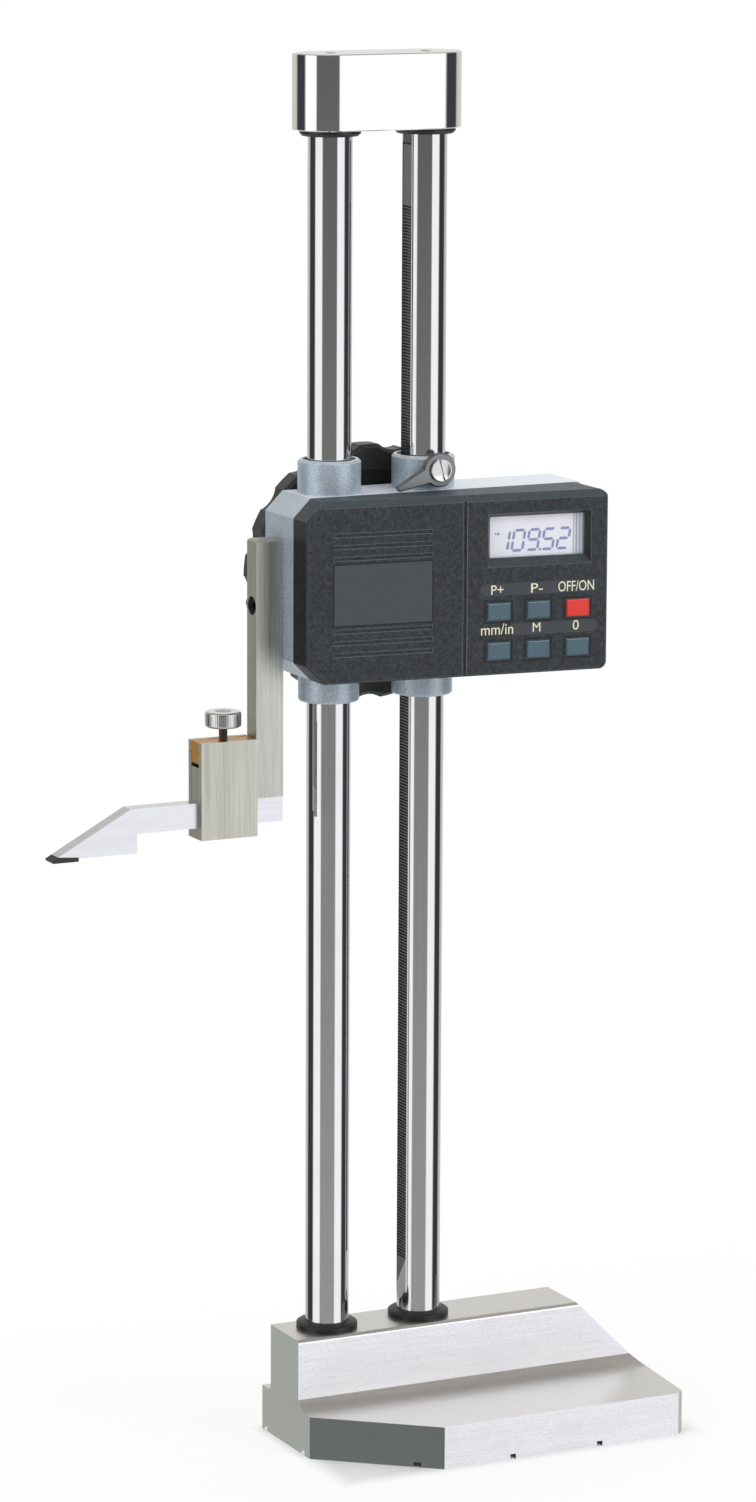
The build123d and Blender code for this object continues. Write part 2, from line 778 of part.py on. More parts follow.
# Housing that closes the gear cavity and carries the drive shaft at the back.
housing_seat = bush_diameter / 2 + housing_nose_gap
with BuildPart() as pinion_housing:
    with BuildSketch(Plane.XZ.offset(-body_half_depth)):
        with Locations((pinion_x, pinion_z)):
            Circle(housing_flange_diameter / 2)
    extrude(amount=-housing_flange_thickness)
    with BuildSketch(Plane.XZ.offset(-body_half_depth)):
        with Locations((pinion_x, pinion_z)):
            Circle(cavity_r - fit_clearance)
    extrude(amount=body_half_depth - housing_seat)
    with BuildSketch(Plane.XZ.offset(-housing_seat)):
        with Locations((pinion_x, pinion_z)):
            Circle(housing_nose_diameter / 2)
    extrude(amount=housing_seat - gear_cavity_depth - shaft_shoulder_gap)
    with BuildSketch(Plane.XZ.offset(-body_half_depth - housing_flange_thickness)):
        with Locations((pinion_x, pinion_z)):
            Circle(shaft_diameter / 2 + shaft_clearance)
    extrude(amount=body_half_depth + housing_flange_thickness, mode=Mode.SUBTRACT)
    with BuildSketch(Plane.XZ.offset(-body_half_depth - housing_flange_thickness)):
        with Locations((pinion_x, pinion_z)):
            with PolarLocations(housing_screw_circle / 2, housing_screw_count, start_angle=90):
                Circle(housing_screw_diameter / 2 + housing_screw_clearance)
    extrude(amount=housing_flange_thickness, mode=Mode.SUBTRACT)
    with BuildSketch(Plane.XZ.offset(-body_half_depth - housing_flange_thickness)):
        with Locations((pinion_x, pinion_z)):
            with PolarLocations(housing_screw_circle / 2, housing_screw_count, start_angle=90):
                Circle(housing_screw_head / 2 + housing_head_clearance)
    extrude(amount=housing_flange_thickness / 2, mode=Mode.SUBTRACT)

pinion_housing.part.label = "pinion_housing"
export_step(pinion_housing.part, "parts/pinion_housing.step")

with BuildPart() as housing_screws:
    with BuildSketch(Plane.XZ.offset(-body_half_depth - housing_flange_thickness)):
        with Locations((pinion_x, pinion_z)):
            with PolarLocations(housing_screw_circle / 2, housing_screw_count, start_angle=90):
                Circle(housing_screw_head / 2)
    extrude(amount=housing_flange_thickness / 2)
    with BuildSketch(Plane.XZ.offset(-body_half_depth - housing_flange_thickness / 2)):
        with Locations((pinion_x, pinion_z)):
            with PolarLocations(housing_screw_circle / 2, housing_screw_count, start_angle=90):
                Circle(housing_screw_diameter / 2)
    extrude(amount=housing_screw_length)

housing_screws.part.label = "housing_screws"
export_step(housing_screws.part, "parts/housing_screws.step")

# Front cover: a shell that is deeper at the display end, so that its face turns a little to the left.
grip_rises = [plate_rise + plate_height + grip_first + index * grip_pitch for index in range(grip_count)]
grip_rises += [plate_rise - grip_first - index * grip_pitch for index in range(grip_count)]
display_centre = (display_left + display_width / 2, display_rise + display_height / 2)
window_width = display_width - 2 * display_side_bevel
window_height = display_height - display_top_bevel - display_bottom_bevel
window_centre = (display_centre[0], display_rise + display_bottom_bevel + window_height / 2)
button_centres = [
    (button_first + column * button_pitch, button_low_rise + row * button_row_pitch)
    for row in (1, 0)
    for column in range(button_columns)
]
post_left = board_left + post_side_inset
post_right = board_left + board_width - post_side_inset
post_top = board_inset + board_height - post_top_inset
post_points = (
    (post_left, board_inset + post_foot_inset),
    (post_left, post_top),
    (post_right, post_top),
    (post_right, display_rise - post_display_gap),
)
with BuildPart() as front_cover:
    with BuildSketch(Plane.XY.offset(slider_height)):
        with BuildLine():
            Polyline(
                (-body_left, -body_half_depth),
                (body_right, -body_half_depth),
                (body_right, -body_half_depth - cover_depth_right),
                (-body_left, -body_half_depth - cover_depth_left),
                close=True,
            )
        make_face()
    extrude(amount=body_height)
    chamfer(front_cover.faces().sort_by(Axis.X)[0].edges().filter_by(Axis.Y), body_cut)
    fillet(front_cover.faces().sort_by(Axis.X)[-1].edges().filter_by(Axis.Y), cover_corner)
    offset(amount=-cover_wall, openings=front_cover.faces().sort_by(Axis.Y)[-1])
    face_edges = front_cover.faces().sort_by(Axis.Y)[0].outer_wire().edges()
    chamfer(face_edges, cover_edge)
    # Bevel along the whole top edge of the face.
    with BuildSketch(Plane(origin=panel.origin, x_dir=panel.z_dir, z_dir=-panel.x_dir)):
        with BuildLine():
            Polyline(
                (0, body_height - cover_top_bevel),
                (0, body_height),
                (-cover_top_bevel, body_height),
                close=True,
            )
        make_face()
    extrude(amount=-panel_length, mode=Mode.SUBTRACT)
    # Thick rim behind the display opening, board posts and screw bosses.
    with BuildSketch(panel.offset(-cover_wall / 2)):
        with Locations(display_centre):
            Rectangle(display_width + 2 * display_rim, display_height + 2 * display_rim)
    extrude(amount=-(display_depth - cover_wall / 2))
    with BuildSketch(panel.offset(-cover_wall / 2)):
        with Locations(*post_points):
            Circle(post_diameter / 2)
    extrude(amount=-(board_depth - cover_wall / 2))
    for x, z in cover_screw_points:
        with BuildSketch(Plane.XZ.offset(body_half_depth)):
            with Locations((x, z)):
                Circle(cover_boss_diameter / 2)
                Circle(cover_screw_diameter / 2 + fit_clearance, mode=Mode.SUBTRACT)
        extrude(amount=cover_depth_at(x) - cover_wall / 2)
    # Display opening: a funnel that narrows to the window.
    with BuildSketch(panel):
        with Locations(display_centre):
            Rectangle(display_width, display_height)
    with BuildSketch(panel.offset(-display_depth)):
        with Locations(window_centre):
            Rectangle(window_width, window_height)
    loft(mode=Mode.SUBTRACT)
    with BuildSketch(panel):
        with Locations(*button_centres):
            Rectangle(button_width + 2 * button_clearance, button_height + 2 * button_clearance)
    extrude(amount=-cover_wall - cut_margin, mode=Mode.SUBTRACT)
    with BuildSketch(panel):
        with Locations((plate_left + plate_width / 2, plate_rise + plate_height / 2)):
            Rectangle(plate_width, plate_height)
    extrude(amount=-plate_thickness, mode=Mode.SUBTRACT)
    with BuildSketch(panel):
        with Locations(*[(plate_left + plate_width / 2, rise) for rise in grip_rises]):
            Rectangle(plate_width, grip_height)
    extrude(amount=-grip_depth, mode=Mode.SUBTRACT)
    with BuildSketch(panel):
        with Locations((seam_position, body_height / 2)):
            Rectangle(seam_width, body_height)
    extrude(amount=-seam_depth, mode=Mode.SUBTRACT)

front_cover.part.label = "front_cover"
export_step(front_cover.part, "parts/front_cover.step")

cover_screw_seat = gear_cavity_depth
with BuildPart() as cover_screws:
    with BuildSketch(Plane.XZ.offset(cover_screw_seat - cover_screw_head_height)):
        with Locations(*cover_screw_points):
            Circle(cover_screw_head / 2)
    extrude(amount=cover_screw_head_height)
    with BuildSketch(Plane.XZ.offset(cover_screw_seat)):
        with Locations(*cover_screw_points):
            Circle(cover_screw_diameter / 2)
    extrude(amount=cover_screw_length)

cover_screws.part.label = "cover_screws"
export_step(cover_screws.part, "parts/cover_screws.step")

with BuildPart() as blank_plate:
    with BuildSketch(panel.offset(-plate_thickness)):
        with Locations((plate_left + plate_width / 2, plate_rise + plate_height / 2)):
            Rectangle(plate_width - 2 * plate_gap, plate_height - 2 * plate_gap)
    extrude(amount=plate_thickness)

blank_plate.part.label = "blank_plate"
export_step(blank_plate.part, "parts/blank_plate.step")

with BuildPart() as lcd_window:
    with BuildSketch(panel.offset(-display_depth)):
        with Locations(window_centre):
            Rectangle(window_width + 2 * window_margin, window_height + 2 * window_margin)
    extrude(amount=-window_thickness)

lcd_window.part.label = "lcd_window"
export_step(lcd_window.part, "parts/lcd_window.step")

with BuildPart() as lcd_panel:
    with BuildSketch(panel.offset(-display_depth - window_thickness)):
        with Locations(window_centre):
            Rectangle(window_width + 2 * window_margin, window_height + 2 * window_margin)
    extrude(amount=-(board_depth - display_depth - window_thickness))

lcd_panel.part.label = "lcd_panel"
export_step(lcd_panel.part, "parts/lcd_panel.step")

# Circuit board with its processor and two smaller chips on the back.
board_centre = (board_left + board_width / 2, board_inset + board_height / 2)
with BuildPart() as circuit_board:
    with BuildSketch(panel.offset(-board_depth)):
        with Locations(board_centre):
            Rectangle(board_width, board_height)
    extrude(amount=-board_thickness)
    with BuildSketch(panel.offset(-board_depth - board_thickness)):
        with Locations(board_centre):
            Rectangle(board_width / 3, board_width / 3)
        with Locations(
            (board_centre[0], board_centre[1] - board_height / 3),
            (board_centre[0], board_centre[1] + board_height / 3),
        ):
            Rectangle(board_width / 5, board_width / 8)
    extrude(amount=-board_thickness)

circuit_board.part.label = "circuit_board"
export_step(circuit_board.part, "parts/circuit_board.step")

# Keypad mat: a sheet on the board with one dome behind each button.
mat_left = button_first - button_width / 2 - mat_margin
mat_width = (button_columns - 1) * button_pitch + button_width + 2 * mat_margin
mat_height = button_row_pitch + button_height + 2 * mat_margin
with BuildPart() as keypad_mat:
    with BuildSketch(panel.offset(-mat_depth)):
        with Locations((mat_left + mat_width / 2, button_low_rise + button_row_pitch / 2)):
            Rectangle(mat_width, mat_height)
    extrude(amount=-(board_depth - mat_depth))
    with BuildSketch(panel.offset(-mat_depth)):
        with Locations(*button_centres):
            Circle(button_height / 2)
    extrude(amount=mat_depth - dome_depth, taper=20)

keypad_mat.part.label = "keypad_mat"
export_step(keypad_mat.part, "parts/keypad_mat.step")

# Battery in its holder on the front of the body, behind the left half of the cover.
battery_z = slider_height + battery_rise
with BuildPart() as battery_holder:
    with BuildSketch(Plane.XZ.offset(body_half_depth)):
        with Locations((battery_x, battery_z)):
            RectangleRounded(battery_holder_size, battery_holder_size, battery_holder_round)
    extrude(amount=battery_holder_thickness)
    with BuildSketch(Plane.XZ.offset(body_half_depth + battery_holder_thickness)):
        with Locations((battery_x, battery_z)):
            Circle(battery_diameter / 2 + battery_clearance)
    extrude(amount=-battery_thickness, mode=Mode.SUBTRACT)

battery_holder.part.label = "battery_holder"
export_step(battery_holder.part, "parts/battery_holder.step")

with BuildPart() as battery:
    with BuildSketch(Plane.XZ.offset(body_half_depth + battery_holder_thickness - battery_thickness)):
        with Locations((battery_x, battery_z)):
            Circle(battery_diameter / 2)
    extrude(amount=battery_thickness)
    chamfer(battery.edges().filter_by(GeomType.CIRCLE), battery_edge)

battery.part.label = "battery"
export_step(battery.part, "parts/battery.step")

# Six buttons, each a cap that stands out of the cover and a flange that stops behind it.
button_names = ("preset_up", "preset_down", "power", "unit", "mode", "zero")
flange_depth = cover_wall + button_rest_gap
for name, centre in zip(button_names, button_centres):
    with BuildPart() as button:
        with BuildSketch(panel.offset(-flange_depth)):
            with Locations(centre):
                Rectangle(button_width, button_height)
        extrude(amount=flange_depth + button_proud)
        cap_face = button.faces().sort_by(Axis.Y)[0]
        chamfer(cap_face.edges(), button_edge)
        with BuildSketch(panel.offset(-flange_depth)):
            with Locations(centre):
                Rectangle(button_width + 2 * button_flange, button_height + 2 * button_flange)
        extrude(amount=-button_flange_thickness)
    button.part.label = f"button_{name}"
    export_step(button.part, f"parts/button_{name}.step")

# ================================================================ feed wheel

# Drive shaft with a collar that stops behind the pinion.
pinion_half = gear_width / 2
wheel_front = body_half_depth + housing_flange_thickness + wheel_gap
wheel_back = wheel_front + wheel_thickness
shaft_points = ((pinion_x, pinion_z),)
with BuildPart() as drive_shaft:
    with BuildSketch(Plane.XZ.offset(shaft_front)):
        with Locations(*shaft_points):
            Circle(shaft_diameter / 2)
    extrude(amount=-(shaft_front + wheel_back))
    with BuildSketch(Plane.XZ.offset(-pinion_half)):
        with Locations(*shaft_points):
            Circle(shaft_collar_diameter / 2)
    extrude(amount=-(gear_cavity_depth - pinion_half - shaft_shoulder_gap))
    with BuildSketch(Plane.XZ.offset(-wheel_back)):
        with Locations(*shaft_points):
            Circle(wheel_screw_diameter / 2 + fit_clearance)
    extrude(amount=wheel_screw_length, mode=Mode.SUBTRACT)

drive_shaft.part.label = "drive_shaft"
export_step(drive_shaft.part, "parts/drive_shaft.step")

pinion_outline = gear_outline(pinion_teeth, (pinion_x, pinion_z), pinion_z - rack_bottom)
with BuildPart() as drive_pinion:
    with BuildSketch(Plane.XZ):
        with BuildLine():
            Polyline(*pinion_outline, close=True)
        make_face()
        with Locations(*shaft_points):
            Circle(shaft_diameter / 2 + fit_clearance, mode=Mode.SUBTRACT)
    extrude(amount=pinion_half, both=True)

drive_pinion.part.label = "drive_pinion"
export_step(drive_pinion.part, "parts/drive_pinion.step")

# Handwheel: a scalloped rim round a dished web and a hub.
scallop_centre = wheel_diameter / 2 + wheel_scallop_radius - wheel_scallop_depth
web_outer = wheel_diameter / 2 - wheel_scallop_depth - wheel_rim_width
with BuildPart() as handwheel:
    with BuildSketch(Plane.XZ.offset(-wheel_back)) as rim:
        with Locations(*shaft_points):
            Circle(wheel_diameter / 2)
            with PolarLocations(scallop_centre, wheel_lobes, start_angle=90 + 180 / wheel_lobes):
                Circle(wheel_scallop_radius, mode=Mode.SUBTRACT)
    extrude(amount=wheel_thickness)
    chamfer(handwheel.faces().sort_by(Axis.Y)[0].edges(), wheel_edge)
    chamfer(handwheel.faces().sort_by(Axis.Y)[-1].edges(), wheel_edge)
    with BuildSketch(Plane.XZ.offset(-wheel_back)):
        with Locations(*shaft_points):
            Circle(web_outer)
            Circle(wheel_hub_diameter / 2, mode=Mode.SUBTRACT)
    extrude(amount=wheel_thickness - wheel_web_thickness - wheel_web_inset, mode=Mode.SUBTRACT)
    with BuildSketch(Plane.XZ.offset(-wheel_front)):
        with Locations(*shaft_points):
            Circle(web_outer)
            Circle(wheel_hub_diameter / 2, mode=Mode.SUBTRACT)
    extrude(amount=-wheel_web_inset, mode=Mode.SUBTRACT)
    with BuildSketch(Plane.XZ.offset(-wheel_back)):
        with Locations(*shaft_points):
            Circle(shaft_diameter / 2 + fit_clearance)
    extrude(amount=wheel_thickness, mode=Mode.SUBTRACT)

handwheel.part.label = "handwheel"
export_step(handwheel.part, "parts/handwheel.step")

with BuildPart() as wheel_screw:
    with BuildSketch(Plane.XZ.offset(-wheel_back)):
        with Locations(*shaft_points):
            Circle(wheel_washer_diameter / 2)
    extrude(amount=-wheel_washer_thickness)
    with BuildSketch(Plane.XZ.offset(-wheel_back - wheel_washer_thickness)):
        with Locations(*shaft_points):
            Circle(wheel_screw_head / 2)
    extrude(amount=-wheel_screw_head_height)
    with BuildSketch(Plane.XZ.offset(-wheel_back)):
        with Locations(*shaft_points):
            Circle(wheel_screw_diameter / 2)
    extrude(amount=wheel_screw_length - wheel_screw_end_gap)
    with BuildSketch(Plane.XZ.offset(-wheel_back - wheel_washer_thickness - wheel_screw_head_height)):
        with Locations(*shaft_points):
            RegularPolygon(wheel_screw_head / 4, 6)
    extrude(amount=wheel_screw_head_height / 2, mode=Mode.SUBTRACT)

wheel_screw.part.label = "wheel_screw"
export_step(wheel_screw.part, "parts/wheel_screw.step")

# ================================================================ encoder

encoder_points = ((encoder_x, encoder_z),)
disc_front = body_half_depth + encoder_flange_thickness + encoder_disc_gap + encoder_disc_thickness
with BuildPart() as encoder_bush:
    with BuildSketch(Plane.XZ.offset(body_half_depth)):
        with Locations(*encoder_points):
            Circle(encoder_flange_diameter / 2)
    extrude(amount=encoder_flange_thickness)
    with BuildSketch(Plane.XZ.offset(body_half_depth)):
        with Locations(*encoder_points):
            Circle(encoder_cavity_r - fit_clearance)
    extrude(amount=-(body_half_depth - column_r - encoder_bush_gap))
    with BuildSketch(Plane.XZ.offset(body_half_depth + encoder_flange_thickness)):
        with Locations(*encoder_points):
            Circle(encoder_shaft_diameter / 2 + shaft_clearance)
    extrude(amount=-body_half_depth, mode=Mode.SUBTRACT)

encoder_bush.part.label = "encoder_bush"
export_step(encoder_bush.part, "parts/encoder_bush.step")

with BuildPart() as encoder_shaft:
    with BuildSketch(Plane.XZ.offset(disc_front + encoder_shaft_proud)):
        with Locations(*encoder_points):
            Circle(encoder_shaft_diameter / 2)
    extrude(amount=-(disc_front + encoder_shaft_proud + 2 * gear_cavity_depth - shaft_end_gap))

encoder_shaft.part.label = "encoder_shaft"
export_step(encoder_shaft.part, "parts/encoder_shaft.step")

encoder_outline = gear_outline(encoder_teeth, (encoder_x, encoder_z), encoder_z - rack_bottom)
with BuildPart() as encoder_pinion:
    with BuildSketch(Plane.XZ):
        with BuildLine():
            Polyline(*encoder_outline, close=True)
        make_face()
        with Locations(*encoder_points):
            Circle(encoder_shaft_diameter / 2 + fit_clearance, mode=Mode.SUBTRACT)
    extrude(amount=pinion_half, both=True)

encoder_pinion.part.label = "encoder_pinion"
export_step(encoder_pinion.part, "parts/encoder_pinion.step")

with BuildPart() as encoder_disc:
    with BuildSketch(Plane.XZ.offset(disc_front)):
        with Locations(*encoder_points):
            Circle(encoder_disc_diameter / 2)
            Circle(encoder_shaft_diameter / 2 + fit_clearance, mode=Mode.SUBTRACT)
    extrude(amount=-encoder_disc_thickness)
    with BuildSketch(Plane.XZ.offset(disc_front)):
        with Locations(*encoder_points):
            Circle(encoder_shaft_diameter)
            Circle(encoder_shaft_diameter / 2 + fit_clearance, mode=Mode.SUBTRACT)
    extrude(amount=encoder_shaft_proud)

encoder_disc.part.label = "encoder_disc"
export_step(encoder_disc.part, "parts/encoder_disc.step")

# Sensor: a block on the body's front with a slot round the top of the disc.
sensor_z = encoder_z + encoder_disc_diameter / 2 - sensor_lap + sensor_height / 2
with BuildPart() as encoder_sensor:
    with BuildSketch(Plane.XZ.offset(body_half_depth)):
        with Locations((encoder_x, sensor_z)):
            Rectangle(sensor_width, sensor_height)
    extrude(amount=disc_front + sensor_wall - body_half_depth)
    with BuildSketch(Plane.XZ.offset(disc_front + sensor_clearance)):
        with Locations((encoder_x, sensor_z - sensor_height / 2 + sensor_lap / 2)):
            Rectangle(sensor_width, sensor_lap + sensor_slot_relief)
    extrude(amount=-(encoder_disc_thickness + 2 * sensor_clearance), mode=Mode.SUBTRACT)

encoder_sensor.part.label = "encoder_sensor"
export_step(encoder_sensor.part, "parts/encoder_sensor.step")

# ================================================================ clamp lever

lever_back = clamp_boss_face + clamp_end_gap
lever_front = lever_back + clamp_lever_thickness
clamp_points = ((column_x, clamp_z),)
with BuildPart() as clamp_lever:
    with BuildSketch(Plane.XZ.offset(lever_back)):
        with Locations(*clamp_points):
            Circle(clamp_root_diameter / 2)
        with Locations((column_x - clamp_reach, clamp_z - clamp_drop)):
            Circle(clamp_tip_diameter / 2)
        make_hull()
        with Locations(*clamp_points):
            Circle(clamp_hub_diameter / 2)
    extrude(amount=clamp_lever_thickness)
    chamfer(clamp_lever.faces().sort_by(Axis.Y)[0].edges(), clamp_lever_edge)
    with BuildSketch(Plane.XZ.offset(lever_back)):
        with Locations(*clamp_points):
            Circle(clamp_screw_diameter / 2 + fit_clearance)
    extrude(amount=clamp_lever_thickness, mode=Mode.SUBTRACT)

clamp_lever.part.label = "clamp_lever"
export_step(clamp_lever.part, "parts/clamp_lever.step")

clamp_screw_end = bush_diameter / 2 + clamp_end_gap
head_front = lever_front + clamp_screw_head_height
dish_r = clamp_screw_head / 2 - clamp_screw_rim
with BuildPart() as clamp_screw:
    # Head with a bevelled rim round a dished face.
    with BuildSketch(Plane.YZ.offset(column_x)):
        with BuildLine():
            dish = ThreePointArc(
                (-head_front + clamp_screw_dish, clamp_z),
                (-head_front + clamp_screw_dish * 0.75, clamp_z + dish_r / 2),
                (-head_front, clamp_z + dish_r),
            )
            Polyline(
                dish @ 1,
                (-head_front, clamp_z + clamp_screw_head / 2 - clamp_screw_edge),
                (-head_front + clamp_screw_edge, clamp_z + clamp_screw_head / 2),
                (-lever_front, clamp_z + clamp_screw_head / 2),
                (-lever_front, clamp_z),
                dish @ 0,
            )
        make_face()
    revolve(axis=Axis((column_x, 0, clamp_z), (0, 1, 0)))
    with BuildSketch(Plane.XZ.offset(clamp_screw_end)):
        with Locations(*clamp_points):
            Circle(clamp_screw_diameter / 2)
    extrude(amount=lever_front - clamp_screw_end)
    with BuildSketch(Plane.XZ.offset(head_front)):
        with Locations(Location((column_x, clamp_z), clamp_slot_tilt)):
            Rectangle(2 * clamp_screw_head, clamp_slot_width)
    extrude(amount=-clamp_slot_depth, mode=Mode.SUBTRACT)

clamp_screw.part.label = "clamp_screw"
export_step(clamp_screw.part, "parts/clamp_screw.step")

with BuildPart() as clamp_pad:
    with BuildSketch(Plane.XZ.offset(column_r + clamp_pad_gap)):
        with Locations(*clamp_points):
            Circle(clamp_pad_diameter / 2)
    extrude(amount=clamp_screw_end - clamp_end_gap - column_r - clamp_pad_gap)

clamp_pad.part.label = "clamp_pad"
export_step(clamp_pad.part, "parts/clamp_pad.step")

# ================================================================ scriber arm

# Arm: an upright on the body's left end, and a narrower foot that carries the clamp box.
with BuildPart() as scriber_arm:
    with BuildSketch(Plane.XZ.offset(-arm_depth / 2)):
        with Locations((arm_left + arm_width / 2, (arm_top + arm_bottom) / 2)):
            Rectangle(arm_width, arm_top - arm_bottom)
    extrude(amount=arm_depth)
    chamfer(scriber_arm.faces().sort_by(Axis.Z)[-1].edges(), arm_edge)
    with BuildSketch(Plane.XZ.offset(-arm_foot_depth / 2)):
        with Locations((foot_left + (arm_foot_length + cut_margin) / 2, arm_bottom + arm_foot_height / 2)):
            Rectangle(arm_foot_length + cut_margin, arm_foot_height)
    extrude(amount=arm_foot_depth)
    with BuildSketch(Plane.YZ.offset(arm_left)):
        with Locations((0, slider_height + arm_screw_rise)):
            Circle(arm_screw_diameter / 2 + arm_screw_clearance)
    extrude(amount=arm_width, mode=Mode.SUBTRACT)
    with BuildSketch(Plane.YZ.offset(arm_left)):
        with Locations((0, slider_height + arm_screw_rise)):
            Circle(arm_screw_head / 2 + arm_head_clearance)
    extrude(amount=arm_screw_recess, mode=Mode.SUBTRACT)

scriber_arm.part.label = "scriber_arm"
export_step(scriber_arm.part, "parts/scriber_arm.step")

arm_screw_seat = arm_left + arm_screw_recess
with BuildPart() as arm_screw:
    with BuildSketch(Plane.YZ.offset(arm_screw_seat)):
        with Locations((0, slider_height + arm_screw_rise)):
            Circle(arm_screw_head / 2)
    extrude(amount=-arm_screw_head_height)
    with BuildSketch(Plane.YZ.offset(arm_screw_seat)):
        with Locations((0, slider_height + arm_screw_rise)):
            Circle(arm_screw_diameter / 2)
    extrude(amount=arm_screw_length)
    with BuildSketch(Plane.YZ.offset(arm_screw_seat - arm_screw_head_height)):
        with Locations((0, slider_height + arm_screw_rise)):
            RegularPolygon(arm_screw_key_flats / 2, 6, major_radius=False)
    extrude(amount=arm_screw_head_height / 2, mode=Mode.SUBTRACT)

arm_screw.part.label = "arm_screw"
export_step(arm_screw.part, "parts/arm_screw.step")

# Clamp box: a trough that holds foot and scriber together, closed at the top by the nut.
box_inner = arm_foot_depth + 2 * clamp_box_clearance
nut_bottom = box_top - nut_height
nut_rib_z = nut_bottom + nut_height / 2
with BuildPart() as clamp_box:
    with BuildSketch(Plane.YZ.offset(box_left)):
        with Locations((0, (box_bottom + box_top) / 2)):
            Rectangle(clamp_box_depth, clamp_box_height)
        with Locations((0, (box_bottom + clamp_box_floor + box_top) / 2)):
            Rectangle(box_inner, clamp_box_height - clamp_box_floor, mode=Mode.SUBTRACT)
        with Locations((0, nut_rib_z)):
            Rectangle(box_inner + 2 * nut_rib_depth, nut_rib_height, mode=Mode.SUBTRACT)
    extrude(amount=clamp_box_length)

clamp_box.part.label = "clamp_box"
export_step(clamp_box.part, "parts/clamp_box.step")

with BuildPart() as clamp_nut:
    with BuildSketch(Plane.YZ.offset(box_left + nut_end_gap)):
        with Locations((0, nut_rib_z)):
            Rectangle(box_inner - 2 * fit_clearance, nut_height - 2 * nut_end_gap)
            Rectangle(box_inner + 2 * nut_rib_depth - 2 * fit_clearance, nut_rib_height - 2 * fit_clearance)
    extrude(amount=clamp_box_length - 2 * nut_end_gap)
    with BuildSketch(Plane.XY.offset(nut_bottom)):
        with Locations((box_centre, 0)):
            Circle(thumb_stem_diameter / 2 + shaft_clearance)
    extrude(amount=nut_height, mode=Mode.SUBTRACT)

clamp_nut.part.label = "clamp_nut"
export_step(clamp_nut.part, "parts/clamp_nut.step")

thumb_bottom = box_top + thumb_lift
with BuildPart() as thumb_screw:
    with BuildSketch(Plane.XY.offset(thumb_bottom)):
        with Locations((box_centre, 0)):
            Circle(thumb_diameter / 2)
    extrude(amount=thumb_height)
    fillet(thumb_screw.edges().filter_by(GeomType.CIRCLE), thumb_round)
    with BuildSketch(Plane.XY.offset(foot_top + thumb_end_gap)):
        with Locations((box_centre, 0)):
            Circle(thumb_stem_diameter / 2)
    extrude(amount=thumb_bottom - foot_top - thumb_end_gap)

thumb_screw.part.label = "thumb_screw"
export_step(thumb_screw.part, "parts/thumb_screw.step")

# Scriber: a flat bar with a slanted nib, stepped below, and a carbide tip let into its point.
scriber_right = arm_right + scriber_rear_overlap
scriber_left = scriber_right - scriber_length
nib_bottom = scriber_bottom - nib_step
carbide_bottom = nib_bottom - carbide_drop
tip_point = (scriber_left, carbide_bottom + tip_height)
slant_start = (scriber_left + nib_slant_length, scriber_top)
slant_angle = atan2(slant_start[1] - tip_point[1], nib_slant_length)
carbide_top = (tip_point[0] + carbide_cut, tip_point[1] + carbide_cut * tan(slant_angle))
carbide_right = scriber_left + tip_setback + carbide_length
carbide_seat = (carbide_right, nib_bottom + carbide_lap)
with BuildPart() as scriber_tip:
    with BuildSketch(Plane.XZ.offset(-arm_foot_depth / 2)):
        with BuildLine():
            Polyline(
                tip_point,
                (scriber_left + tip_setback, carbide_bottom),
                (carbide_right, carbide_bottom),
                carbide_seat,
                carbide_top,
                close=True,
            )
        make_face()
    extrude(amount=arm_foot_depth)

scriber_tip.part.label = "scriber_tip"
export_step(scriber_tip.part, "parts/scriber_tip.step")

with BuildPart() as scriber:
    with BuildSketch(Plane.XZ.offset(-arm_foot_depth / 2)):
        with BuildLine():
            Polyline(
                carbide_top,
                carbide_seat,
                (carbide_right, nib_bottom),
                (scriber_left + nib_length, nib_bottom),
                (scriber_left + nib_length, scriber_bottom),
                (scriber_right, scriber_bottom),
                (scriber_right, scriber_top),
                slant_start,
                close=True,
            )
        make_face()
    extrude(amount=arm_foot_depth)

scriber.part.label = "scriber"
export_step(scriber.part, "parts/scriber.step")
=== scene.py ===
import bpy
from math import cos, pi, radians, sin
from mathutils import Matrix, Vector


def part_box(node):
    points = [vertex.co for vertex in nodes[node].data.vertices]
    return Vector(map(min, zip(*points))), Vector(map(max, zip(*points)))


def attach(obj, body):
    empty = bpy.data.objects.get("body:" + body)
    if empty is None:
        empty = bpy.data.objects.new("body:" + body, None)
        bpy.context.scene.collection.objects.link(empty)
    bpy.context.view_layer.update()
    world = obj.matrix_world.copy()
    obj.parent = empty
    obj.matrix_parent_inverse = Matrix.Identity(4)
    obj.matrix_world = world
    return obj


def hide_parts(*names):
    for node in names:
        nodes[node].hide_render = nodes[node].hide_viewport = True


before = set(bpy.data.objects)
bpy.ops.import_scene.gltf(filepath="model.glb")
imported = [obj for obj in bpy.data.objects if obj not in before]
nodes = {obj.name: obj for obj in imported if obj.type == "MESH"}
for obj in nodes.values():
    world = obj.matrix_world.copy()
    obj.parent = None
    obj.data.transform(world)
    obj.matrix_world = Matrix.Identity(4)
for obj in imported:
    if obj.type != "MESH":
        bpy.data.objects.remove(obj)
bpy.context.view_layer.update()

# ---------------------------------------------------------------- camera
CAMERA_POS = Vector((-1.1968, -2.43745, 0.86764))
CAMERA_YAW, CAMERA_PITCH, CAMERA_ROLL = radians(26.183), radians(10.600), radians(0.262)
CAMERA_LENS = 129.954


